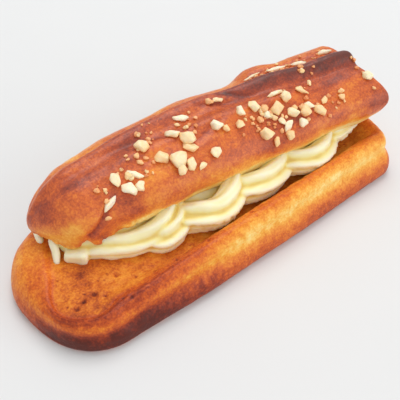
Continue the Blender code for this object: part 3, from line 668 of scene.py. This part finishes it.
def lid_browning_and_light(s, angle):
    """How browned the lid's crust is, by its place along the lid and round its arch, with painted shade at
    the crest and painted highlight on the lower front edge.
    """
    crest, band = along(CREST_ANGLE, s), along(CREST_BAND, s)
    browning_and_light = EVEN_BROWN + 0.1 * bump(angle, 44, 13) * ease(s, -30, 5) * ease(s, 50, 25)
    # Darker in the groove before the crest: painted shade.
    browning_and_light += 0.1 * bump(angle, crest - 18, 12) - 0.08 * ease(angle, crest + 12, crest + 30)
    # The crest's band: browning, and on the far half painted shade below the crest.
    browning_and_light += along(CREST_BROWN_AND_SHADE, s) * bump(angle, crest + 2 - 0.45 * band, band)
    browning_and_light += 0.05 * ease(s, 5, 30)
    for darker, middle, half, place, length in LID_SPOTS:
        browning_and_light += darker * bump(angle, middle, half) * bump(s, place, length)
    for darker, middle, half, start, full in LID_STRIPES:
        browning_and_light += darker * bump(angle, middle, half) * ease(s, start, full)
    # The first two areas pale the lower front edge: painted highlight.
    for darker, low, high, start, full in LID_AREAS:
        browning_and_light += darker * ease(angle, low, high) * ease(s, start, full)
    return browning_and_light


# Folds and grooves baked into the lid: ((distance along, angle) places, width, depth, how much darker). The
# darkening is painted shade in the groove.
# A degree round the arch is about MM_A_DEGREE long.
MM_A_DEGREE = 0.31
LID_CREASES = [
    ([(-43, 47), (-45, 40), (-47.5, 32), (-50.5, 22), (-54, 12), (-55.5, 2)], 1.1, 0.9, 0.24),
    ([(-41, 30), (-38, 22), (-37, 12), (-38, 4)], 1.3, 0.25, 0.05),
    ([(-27, 90), (-22, 86), (-17, 80), (-12, 79)], 1.0, 0.35, 0.1),
    ([(-42, 97), (-36, 94), (-30, 92), (-26, 91)], 1.2, 0.3, 0.08),
    ([(4, 106), (8, 101), (12, 93), (17, 86)], 0.8, 0.5, 0.2),
    ([(-4, 100), (0, 98), (5, 93), (9, 89)], 0.7, 0.35, 0.12),
    ([(-14, 60), (-8, 66), (-2, 72), (4, 76)], 1.2, 0.3, 0.1),
    ([(-60, 80), (-52, 76), (-44, 74), (-38, 76)], 1.4, 0.3, 0.08),
    ([(20, 122), (30, 118), (42, 112), (54, 104)], 0.9, 0.6, 0.1),
    ([(24, 138), (32, 134), (42, 130)], 0.8, 0.5, 0.08),
    ([(30, 60), (40, 58), (50, 60), (60, 62)], 1.6, 0.2, 0.08),
]


def lid_mesh():
    """Points and faces, then each point's place along the lid, its angle, and if it is on the cut."""
    stations = lid_stations(LID_ALONG + 2)
    inner = stations[1:-1]
    angles = np.linspace(0, 180, LID_ACROSS)
    rows = [lid_arch(s, angles) for s in inner]
    points = [p for row in rows for p in row]
    crust = len(points)
    numbers = np.arange(crust).reshape(len(rows), LID_ACROSS).tolist()
    under = []
    for row, over in zip(rows, numbers):
        under.append([over[-1], *range(len(points), len(points) + LID_UNDER - 1), over[0]])
        points += [blend(row[-1], row[0], k / LID_UNDER) for k in range(1, LID_UNDER)]
    faces = grid_faces(numbers) + grid_faces(under)
    for tip, end in ((stations[0], 0), (stations[-1], -1)):
        loop = numbers[end] + under[end][1:-1]
        faces += [(len(points), a, b) for a, b in zip(loop, loop[1:] + loop[:1])]
        points.append(lid_arch(tip, np.zeros(1))[0])
    below = np.arange(len(points)) >= crust
    extra = len(points) - crust
    s = np.concatenate([np.repeat(inner, LID_ACROSS), np.zeros(extra)])
    angle = np.concatenate([np.tile(angles, len(inner)), np.full(extra, 90.0)])
    return np.array(points), faces, s, angle, below


def lid_surface(points, s, angle, below):
    """Relief in mm and browning, with painted light and shade, at each of the lid's points."""
    fine = grain(points, 2.4, seed=12, octaves=4)
    patches = grain(points, 14, seed=13)
    streaks = grain(points, 3.2, seed=14, stretch=(0.35, 1.0, 1.0))
    long_streaks = grain(points, 6.0, seed=16, stretch=(0.25, 1.0, 1.0))
    relief = 0.12 * grain(points, 5, seed=15) + 0.05 * fine + 0.08 * streaks
    band = bump(angle, along(CREST_ANGLE, s), 16) * ease(s, -10, 25)
    browning_and_light = lid_browning_and_light(s, angle) + 0.08 * patches + 0.05 * streaks + 0.1 * long_streaks
    browning_and_light = np.minimum(browning_and_light, 0.7 + 0.3 * band)
    for line, width, depth, darker in LID_CREASES:
        mark = crease(s, angle * MM_A_DEGREE, [(u, v * MM_A_DEGREE) for u, v in line], width)
        relief -= depth * mark
        # Each crease is darkened: painted shade in its groove.
        browning_and_light += darker * mark
    ragged = ease(angle, 13, 3) * ease(s, -25, -45)
    relief += 0.5 * ragged * grain(points, 1.8, seed=17)
    browning_and_light -= 0.1 * ragged * (1 + 2 * fine)
    pores = crumb_pores(points)
    relief = np.where(below, 0.2 * fine - 0.5 * pores, relief)
    # Pits in the lid's underside are darkened: painted shade.
    return relief, np.where(below, 0.3 + 0.1 * patches + 0.3 * pores, browning_and_light)


def make_lid_crust():
    points, faces, s, angle, below = lid_mesh()
    piece = mesh_object("lid_crust", points, faces)
    outward(piece)
    relief, browning_and_light = lid_surface(points, s, angle, below)
    push_out(piece, relief)
    store(piece, "browning_and_light", browning_and_light)
    store(piece, "crumb", below)
    return piece


# -------- chopped nuts


def strewn(draw, scatters, times, spread, size):
    """Small pieces round the scatters' middles, as (x, y, length, width, turn)."""
    pieces = []
    for x, y, spread_x, spread_y, count in scatters:
        for _ in range(times * count):
            length = draw.uniform(*size)
            place = (draw.gauss(x, spread * spread_x), draw.gauss(y, spread * spread_y))
            pieces.append((*place, length, length * draw.uniform(0.6, 1.0), draw.uniform(0, 180)))
    return pieces


def seat(point, normal, turn):
    """A place on the crust: +X along the turn as seen from above, +Z straight out of the crust."""
    heading = Vector((math.cos(math.radians(turn)), math.sin(math.radians(turn)), 0))
    ahead = (heading - normal * heading.dot(normal)).normalized()
    return Matrix.Translation(point) @ Matrix((ahead, normal.cross(ahead), normal)).transposed().to_4x4()


def nut_piece(draw, size, place):
    """A cut piece: the hull of corners spread round a spiral, pushed out toward a box."""
    bm = bmesh.new()
    half = Vector(size) * (0.5 * NUT_FULLNESS)
    for i in range(NUT_CORNERS):
        lift = 1 - 2 * (i + 0.5) / NUT_CORNERS
        angle = i * 2.4 + draw.uniform(-0.5, 0.5)
        ring = math.sqrt(1 - lift * lift)
        way = Vector((ring * math.cos(angle), ring * math.sin(angle), lift))
        way /= max(abs(way.x), abs(way.y), abs(way.z)) ** 0.6
        way *= draw.uniform(0.88, 1.08)
        bm.verts.new(Vector((way.x * half.x, way.y * half.y, way.z * half.z)) * MM)
    bmesh.ops.convex_hull(bm, input=bm.verts)
    bmesh.ops.delete(bm, geom=[v for v in bm.verts if not v.link_faces], context="VERTS")
    bm.transform(place)
    return bm


def soften_nut(bm):
    """Makes the faces fine, rounds the cut edges a little and leaves the cuts uneven."""
    bmesh.ops.subdivide_edges(bm, edges=bm.edges[:], cuts=4, use_grid_fill=True)
    bmesh.ops.triangulate(bm, faces=bm.faces)
    bmesh.ops.smooth_vert(bm, verts=bm.verts, factor=0.5, use_axis_x=True, use_axis_y=True, use_axis_z=True)
    bm.normal_update()
    for vert in bm.verts:
        place = vert.co / MM
        uneven = 0.2 * noise.noise(place * 0.7) + 0.08 * noise.noise(place * 2.4)
        vert.co += vert.normal * MM * (0.04 + uneven)


# Crumbs too fine for the solids: round each scatter, so many for each of its small pieces, and along the
# slivers behind the crest.
CREST_SCATTERS = [(38, 15.5, 6, 1.2, 5), (48, 12.5, 5, 1.2, 5), (58, 10, 4, 1.2, 3)]
CRUMB = (0.8, 1.7)
CRUMBS_EACH = 2


def make_nuts(lid):
    """All pieces as one mesh, with a tone for each and how near the crust each point lies."""
    tree = BVHTree.FromObject(lid, bpy.context.evaluated_depsgraph_get())
    draw = random.Random(12)
    tints = random.Random(5)
    small = strewn(draw, NUT_SCATTERS, 1, 0.5, SMALL_NUT)
    crumbs = strewn(random.Random(31), NUT_SCATTERS + CREST_SCATTERS, CRUMBS_EACH, 0.7, CRUMB)
    points, faces, tones, near_crust_shade = [], [], [], []
    for x, y, length, width, turn in LARGE_NUTS + small + crumbs:
        point, normal, _, _ = tree.ray_cast(Vector((x, y, 100)) * MM, Vector((0, 0, -1)))
        if point is None:
            continue
        height = width * NUT_HEIGHT
        lift = normal * (height * (0.5 - NUT_SUNK) * MM)
        bm = nut_piece(draw, (length, width, height), seat(point + lift, normal, turn))
        soften_nut(bm)
        first = len(points)
        points += [tuple(v.co / MM) for v in bm.verts]
        faces += [tuple(first + v.index for v in f.verts) for f in bm.faces]
        tones += [tints.uniform(0.0, 0.5) + 0.55 * ease(length, 3.6, 1.6)] * len(bm.verts)
        # Painted shade: each point is darker the nearer it lies to the crust.
        near_crust_shade += [1 - (v.co - point).dot(normal) / MM / (0.6 * height) for v in bm.verts]
        bm.free()
    piece = mesh_object("chopped_nuts", points, faces)
    store(piece, "tone", tones)
    store(piece, "near_crust_shade", near_crust_shade)
    return piece


# -------- cream

# How the nozzle shows on a rope. Angles are in radians round it, depths are shares of its radius.
ROPE_TWIST = 0.035
ROLLED_EDGE = 0.12
EDGE_ANGLE = 5.5
# A long fold slides from its start's angle to its end's. Beside it lies a finer one.
FOLD_START = 1.25
FOLD_END = 0.25
FOLD_DEPTH = 0.34
# Depth of the frills on the lower edge: (x, share).
FRILL = [(-50, 0.2), (-26, 0.3), (-12, 0.8), (-4, 1.4), (8, 0.7), (30, 0.5), (48, 1.3), (66, 1.3)]
FULL_TURN = 2 * math.pi
ROUND = np.arange(ROPE_SIDES) / ROPE_SIDES * FULL_TURN


def rope_path(knots, step):
    """Evenly spaced places on the smooth curve through the knots, each with its radius."""
    knots = np.array(knots, float)
    run = np.concatenate([[0], np.cumsum(np.linalg.norm(np.diff(knots[:, :3], axis=0), axis=1))])
    count = max(5, int(round(run[-1] / step)) + 1)
    even = np.linspace(0, run[-1], count)
    return np.stack([along(list(zip(run, column)), even) for column in knots.T], -1)


def rope_star(turn, fold):
    """How far a rope's skin stands out at each angle round it, as a share of its radius."""
    uneven = turn + 0.22 * np.sin(2 * turn + 1.0)
    star = 1.02 - RIDGE_DEPTH * (1 - np.abs(np.cos(ROPE_RIDGES * uneven / 2))) ** 1.3
    star += ROLLED_EDGE * bump(ROUND, EDGE_ANGLE, 0.22)
    star -= FOLD_DEPTH * (bump(ROUND, fold, 0.42) - 0.3 * bump(ROUND, fold + 0.75, 0.3))
    front = (ROUND + 1.5) % FULL_TURN - 1.5
    return star - FOLD_DEPTH * (0.5 * bump(front, fold - 1.05, 0.16) - 0.2 * bump(front, fold - 0.6, 0.2))


def rope_rings(knots):
    """Star-shaped rings along a rope, tapering to rounded tips."""
    first_turn = random.Random(int(abs(knots[0][0]) * 10)).uniform(0, FULL_TURN)
    path = rope_path(knots, ROPE_STEP)
    centre, radius = path[:, :3], path[:, 3]
    way = np.gradient(centre, axis=0)
    way /= np.linalg.norm(way, axis=1)[:, None]
    across = np.cross(way, (0, 0, 1))
    across /= np.linalg.norm(across, axis=1)[:, None]
    upward = np.cross(across, way)
    rings = []
    last = len(centre) - 1
    for i in range(last + 1):
        tip = min(1, min(i, last - i) * ROPE_STEP / (0.9 * radius[i]))
        size = radius[i] * math.sqrt(max(0.12, 1 - (1 - tip) ** 2))
        turn = ROUND + first_turn + ROPE_TWIST * i * ROPE_STEP
        star = rope_star(turn, blend(FOLD_START, FOLD_END, i / last))
        offset = np.outer(np.cos(ROUND) * star, across[i]) + np.outer(np.sin(ROUND) * star, upward[i])
        rings.append(centre[i] + size * offset)
    return rings


def back_edge(x):
    """Where the lid's back edge lies at x."""
    return LID_CENTRE[1] + (x - LID_CENTRE[0]) * math.tan(math.radians(LID_TURN)) + BACK_EDGE


def back_ropes():
    ropes = []
    for start in BACK_ROPE_STARTS:
        rope = []
        for x, y, z, radius in BACK_ROPE:
            edge = min(back_edge(start + x), BACK_ROPE_LIMIT)
            rope.append((start + x, edge + y, BACK_ROPE_HEIGHT + z, radius))
        ropes.append(rope)
    return ropes


def core_rings():
    rings = []
    for x, y, half_width in CORE:
        ring_z = CORE_MIDDLE + CORE_HALF_HEIGHT * np.sin(ROUND)
        rings.append(np.stack([np.full(ROPE_SIDES, x), y + half_width * np.cos(ROUND), ring_z], -1))
    return rings


def lump_rings():
    """A rounded block turned to the camera's side, as rings from its left to its right."""
    turn = math.radians(LUMP_TURN)
    c, s = np.cos(ROUND), np.sin(ROUND)
    deep = LUMP_HALF[1] * np.sign(c) * np.abs(c) ** 0.4
    high = LUMP_HALF[2] * np.sign(s) * np.abs(s) ** 0.4
    rings = []
    for place, size in LUMP_SECTIONS:
        wide = place * LUMP_HALF[0]
        x = LUMP_MIDDLE[0] + wide * math.cos(turn) + size * deep * math.sin(turn)
        y = LUMP_MIDDLE[1] + wide * math.sin(turn) - size * deep * math.cos(turn)
        rings.append(np.stack([x, y, LUMP_MIDDLE[2] + size * high], -1))
    return rings


def make_cream():
    """Core, lump and ropes melted into one smooth skin."""
    points, faces = [], []
    tubes = [core_rings(), lump_rings()] + [rope_rings(k) for k in FRONT_ROPES + NEAR_CURLS + back_ropes()]
    for rings in tubes:
        first = len(points)
        points += [p for ring in rings for p in ring]
        faces += ring_faces(first, len(rings), ROPE_SIDES)
        faces.append(tuple(reversed(range(first, first + ROPE_SIDES))))
        faces.append(tuple(range(len(points) - ROPE_SIDES, len(points))))
    piece = mesh_object("piped_cream", points, faces)
    outward(piece)
    remesh = piece.modifiers.new("melt", "REMESH")
    remesh.mode = "VOXEL"
    remesh.voxel_size = CREAM_VOXEL * MM
    smooth = piece.modifiers.new("smooth", "SMOOTH")
    smooth.factor = 0.5
    smooth.iterations = 3
    apply_modifiers(piece)
    points = positions(piece)
    frill = ease(vectors(piece, "normal")[:, 2], 0.3, -0.5) * along(FRILL, points[:, 0])
    relief = 0.32 * grain(points, 5.0, seed=21, octaves=2, stretch=(0.6, 1.0, 1.3))
    push_out(piece, relief + 0.45 * frill * grain(points, 1.5, seed=22, octaves=2))
    # How deep in a fold each point lies; the material darkens the cream there as painted shade.
    store(piece, "hollow", 0.5 + hollowness(piece, 28) / 0.9)
    return piece


def apply_modifiers(piece):
    graph = bpy.context.evaluated_depsgraph_get()
    mesh = bpy.data.meshes.new_from_object(piece.evaluated_get(graph))
    piece.modifiers.clear()
    piece.data = mesh
    mesh.polygons.foreach_set("use_smooth", [True] * len(mesh.polygons))
    mesh.update()


# -------- materials


class Nodes:
    """Short calls for building a material's node tree."""

    def __init__(self, name):
        self.material = bpy.data.materials.new(name)
        self.material.use_nodes = True
        self.tree = self.material.node_tree
        self.shader = self.tree.nodes["Principled BSDF"]
        self.place = self.add("ShaderNodeTexCoord").outputs["Object"]

    def add(self, kind, inputs=(), **settings):
        """A new node. Each input is (socket's name or number, a value or another node's output)."""
        node = self.tree.nodes.new(kind)
        for key, value in settings.items():
            setattr(node, key, value)
        for key, value in inputs:
            self.give(node.inputs[key], value)
        return node

    def give(self, socket, value):
        if isinstance(value, bpy.types.NodeSocket):
            self.tree.links.new(value, socket)
        else:
            socket.default_value = value

    def finish(self, **values):
        """Gives the shader its values, whose names have _ for each space."""
        for name, value in values.items():
            self.give(self.shader.inputs[name.replace("_", " ")], value)
        return self.material

    def read(self, name):
        return self.add("ShaderNodeAttribute", attribute_name=name).outputs["Fac"]

    def noise(self, size, detail=3.0, rough=0.55):
        """Noise around 0.5 with features of about size mm."""
        inputs = [("Scale", 1 / (size * MM)), ("Detail", detail), ("Roughness", rough)]
        return self.add("ShaderNodeTexNoise", [*inputs, ("Vector", self.place)]).outputs["Fac"]

    def crackle(self, size, width):
        """0 on the lines of a fine net with meshes of about size mm, 1 between them."""
        wander = self.add("ShaderNodeTexNoise", [("Scale", 0.7 / (size * MM)), ("Vector", self.place)])
        scaled = [("Scale", size * MM), (0, wander.outputs["Color"])]
        offset = self.add("ShaderNodeVectorMath", scaled, operation="SCALE").outputs["Vector"]
        warped = self.add("ShaderNodeVectorMath", [(0, self.place), (1, offset)], operation="ADD")
        inputs = [("Scale", 1 / (size * MM)), ("Vector", warped.outputs["Vector"])]
        net = self.add("ShaderNodeTexVoronoi", inputs, feature="DISTANCE_TO_EDGE").outputs["Distance"]
        fade = [("From Max", width), ("Value", net)]
        return self.add("ShaderNodeMapRange", fade, interpolation_type="SMOOTHSTEP").outputs["Result"]

    def math(self, operation, a, b, clamp=False):
        return self.add("ShaderNodeMath", [(0, a), (1, b)], operation=operation, use_clamp=clamp).outputs[0]

    def spread(self, value, low, high):
        """Maps 0..1 to low..high."""
        inputs = [("To Min", low), ("To Max", high), ("Value", value)]
        return self.add("ShaderNodeMapRange", inputs).outputs["Result"]

    def ramp(self, value, stops):
        node = self.add("ShaderNodeValToRGB", [("Fac", value)])
        elements = node.color_ramp.elements
        while len(elements) < len(stops):
            elements.new(0.5)
        for element, (place, colour) in zip(elements, stops):
            element.position = place
            element.color = linear(colour)
        return node.outputs["Color"]

    def mix(self, share, a, b):
        """Blends two colours, each a node's output."""
        return self.add("ShaderNodeMix", [(0, share), (6, a), (7, b)], data_type="RGBA").outputs[2]

    def bumps(self, size, detail, rough, distance, strength, under=None):
        """Fine relief of noise, over another one if it is given."""
        height = self.noise(size, detail, rough)
        inputs = [("Distance", distance * MM), ("Strength", strength), ("Height", height)]
        if under is not None:
            inputs.append(("Normal", under))
        return self.add("ShaderNodeBump", inputs).outputs["Normal"]


def linear(colour):
    """From 0..255 screen values to linear light, opaque."""
    light = [c / 255 / 12.92 if c <= 10 else ((c / 255 + 0.055) / 1.055) ** 2.4 for c in colour]
    return (*light, 1)


# Choux crust from hardly baked to darkest, as screen colours.
BAKING = [
    (0.0, (255, 228, 150)), (0.12, (253, 204, 108)), (0.25, (246, 174, 62)),
    (0.4, (232, 136, 36)), (0.55, (212, 100, 26)), (0.68, (180, 72, 22)),
    (0.8, (144, 50, 18)), (0.9, (116, 38, 17)), (1.0, (90, 29, 15)),
]
# The crumb inside, torn or dried in the oven: more golden than the crust, and darkest in its pits, where the
# dark is painted shade.
CRUMB_TONES = [
    (0.1, (246, 184, 84)), (0.35, (232, 150, 50)), (0.5, (214, 120, 32)),
    (0.62, (184, 88, 26)), (0.78, (124, 50, 24)), (1.0, (66, 24, 16)),
]
# Painted sheen: a pale pink mixed evenly into the crust's colour, standing in for the whitish reflection of
# its egg wash.
PAINTED_SHEEN = (236, 196, 184)
# Cream from the ridges to the bottoms of the folds, darker and yellower toward the bottoms as painted shade.
CREAM_AND_FOLD_SHADE = [
    (0.1, (252, 246, 208)), (0.45, (250, 241, 188)), (0.7, (246, 230, 152)),
    (0.95, (237, 212, 118)),
]
# From a fresh cut to toasted. Toward the crust each piece is pushed to the darker end as painted shade.
NUT_TONES = [
    (0.0, (254, 240, 212)), (0.3, (253, 229, 184)), (0.55, (251, 210, 152)),
    (0.8, (243, 178, 120)), (1.0, (226, 140, 82)),
]
# The floor's two near-white tones.
FLOOR_TONES = [(228, 229, 229), (226, 227, 227)]


def crust_material(name, gloss, coat, painted_sheen_share):
    nodes = Nodes(name)
    crumb = nodes.read("crumb")
    mottle = nodes.noise(2.2, 4, 0.6)
    level = nodes.math("ADD", nodes.read("browning_and_light"), nodes.spread(nodes.noise(9.0), -0.14, 0.14))
    level = nodes.math("ADD", level, nodes.spread(mottle, -0.16, 0.16))
    level = nodes.math("ADD", level, nodes.spread(nodes.noise(0.7, 2), -0.2, 0.2))
    level = nodes.math("ADD", level, nodes.spread(nodes.crackle(1.1, 0.12), 0.035, 0.0), clamp=True)
    torn = nodes.math("MULTIPLY", crumb, 0.75)
    colour = nodes.mix(torn, nodes.ramp(level, BAKING), nodes.ramp(level, CRUMB_TONES))
    rough = nodes.spread(mottle, gloss - 0.08, gloss + 0.1)
    return nodes.finish(
        # The colour is mixed with painted sheen.
        Base_Color=nodes.mix(painted_sheen_share, colour, linear(PAINTED_SHEEN)),
        Roughness=nodes.math("ADD", rough, nodes.math("MULTIPLY", crumb, 0.25)),
        Coat_Weight=coat,
        Coat_Roughness=0.3,
        Specular_IOR_Level=0.3,
        Subsurface_Weight=0.08,
        Subsurface_Radius=(2.0, 0.8, 0.3),
        Subsurface_Scale=MM,
        Normal=nodes.bumps(1.8, 4, 0.6, 0.34, 0.6, under=nodes.bumps(0.55, 2, 0.5, 0.14, 0.7)),
    )


def cream_material():
    nodes = Nodes("pastry_cream")
    patches = nodes.spread(nodes.noise(7.0, 2), -0.15, 0.15)
    # Darker and yellower into the folds: painted shade.
    level = nodes.math("ADD", nodes.read("hollow"), patches, clamp=True)
    return nodes.finish(
        Base_Color=nodes.ramp(level, CREAM_AND_FOLD_SHADE),
        Roughness=nodes.spread(nodes.noise(2.0, 2), 0.34, 0.46),
        Subsurface_Weight=0.7,
        Subsurface_Radius=(2.4, 2.5, 1.6),
        Subsurface_Scale=MM,
        Specular_IOR_Level=0.4,
        Normal=nodes.bumps(1.1, 3, 0.5, 0.1, 0.35),
    )


def nut_material():
    nodes = Nodes("chopped_nut")
    tone = nodes.math("ADD", nodes.read("tone"), nodes.spread(nodes.noise(1.6), -0.18, 0.18))
    # Darker toward the crust: painted shade.
    tone = nodes.math("ADD", tone, nodes.math("MULTIPLY", nodes.read("near_crust_shade"), 0.4), clamp=True)
    return nodes.finish(
        Base_Color=nodes.ramp(tone, NUT_TONES),
        Roughness=nodes.spread(nodes.noise(0.8, 2), 0.35, 0.55),
        Subsurface_Weight=0.25,
        Subsurface_Radius=(1.2, 0.7, 0.35),
        Subsurface_Scale=MM,
        Normal=nodes.bumps(0.5, 2, 0.55, 0.08, 0.5),
    )


def floor_material():
    nodes = Nodes("pale_floor")
    colour = nodes.mix(nodes.noise(40.0, 2), *[linear(tone) for tone in FLOOR_TONES])
    return nodes.finish(Base_Color=colour, Roughness=0.9, Specular_IOR_Level=0.1)


# -------- putting the pieces in place


def place_piece(piece, node, material, shift):
    piece.data.transform(shift)
    piece.data.materials.append(material)
    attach(piece, "root")
    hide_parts(node)


def shift_to_frame(piece):
    """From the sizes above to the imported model, whose origin is at the middle of its underside."""
    low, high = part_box("base")
    points = positions(piece) * MM
    own = (points.min(0) + points.max(0)) / 2
    return Matrix.Translation(((low[0] + high[0]) / 2 - own[0], (low[1] + high[1]) / 2 - own[1], 0.0))


base = make_base_crust()
lid = make_lid_crust()
nuts = make_nuts(lid)
cream = make_cream()
shift = shift_to_frame(base)
# The last number is each crust's share of painted sheen.
place_piece(base, "base", crust_material("base_crust", 0.46, 0.05, 0.0), shift)
place_piece(lid, "lid", crust_material("lid_crust", 0.42, 0.18, 0.04), shift)
place_piece(nuts, "lid", nut_material(), shift)
place_piece(cream, "cream", cream_material(), shift)

# -------- floor, light and camera

FLOOR_HALF = 2000
# Soft round lamps, all turned to the eclair: (name, place in metres, width in metres, power in watts).
LAMPS = [
    ("key", (0.3, 0.36, 1.15), 0.8, 7.0),
    ("front", (0.6, -1.0, 0.42), 1.0, 4.8),
    ("fill", (-0.9, -0.8, 0.8), 0.9, 1.5),
]
WORLD_LIGHT = 0.62

corners = [(x * FLOOR_HALF, y * FLOOR_HALF, 0) for x, y in ((-1, -1), (1, -1), (1, 1), (-1, 1))]
floor = mesh_object("floor", corners, [(0, 1, 2, 3)])
floor.data.materials.append(floor_material())


def stand(name, data, place, back):
    """Puts a lamp or the camera at a place, with its back turned that way."""
    thing = bpy.data.objects.new(name, data)
    thing.location = place
    thing.rotation_mode = "QUATERNION"
    thing.rotation_quaternion = back.to_track_quat("Z", "Y")
    bpy.context.scene.collection.objects.link(thing)
    return thing


for name, place, width, power in LAMPS:
    lamp = bpy.data.lights.new(name, "AREA")
    lamp.shape = "DISK"
    lamp.size = width
    lamp.energy = power
    stand(name, lamp, place, Vector(place))

world = bpy.data.worlds.new("studio")
world.use_nodes = True
sky = world.node_tree.nodes["Background"].inputs
sky["Color"].default_value = (1.0, 1.0, 1.0, 1)
sky["Strength"].default_value = WORLD_LIGHT
bpy.context.scene.world = world
bpy.context.scene.view_settings.view_transform = "Standard"

# The camera looks along the photograph's angle, in degrees. Its distance and target are in mm.
CAMERA_AZIMUTH = -40.0
CAMERA_ELEVATION = 45.0
CAMERA_DISTANCE = 210.94
CAMERA_LENS = 58.5
CAMERA_TARGET = (-8.734, -4.945, 17.2)

azimuth, elevation = math.radians(CAMERA_AZIMUTH), math.radians(CAMERA_ELEVATION)
level = math.cos(elevation)
back = Vector((math.sin(azimuth) * level, -math.cos(azimuth) * level, math.sin(elevation)))
camera = bpy.data.cameras.new("camera")
camera.lens = CAMERA_LENS
camera.sensor_width = 36.0
camera.clip_start = 0.01
target = shift @ (Vector(CAMERA_TARGET) * MM)
bpy.context.scene.camera = stand("camera", camera, target + back * CAMERA_DISTANCE * MM, back)
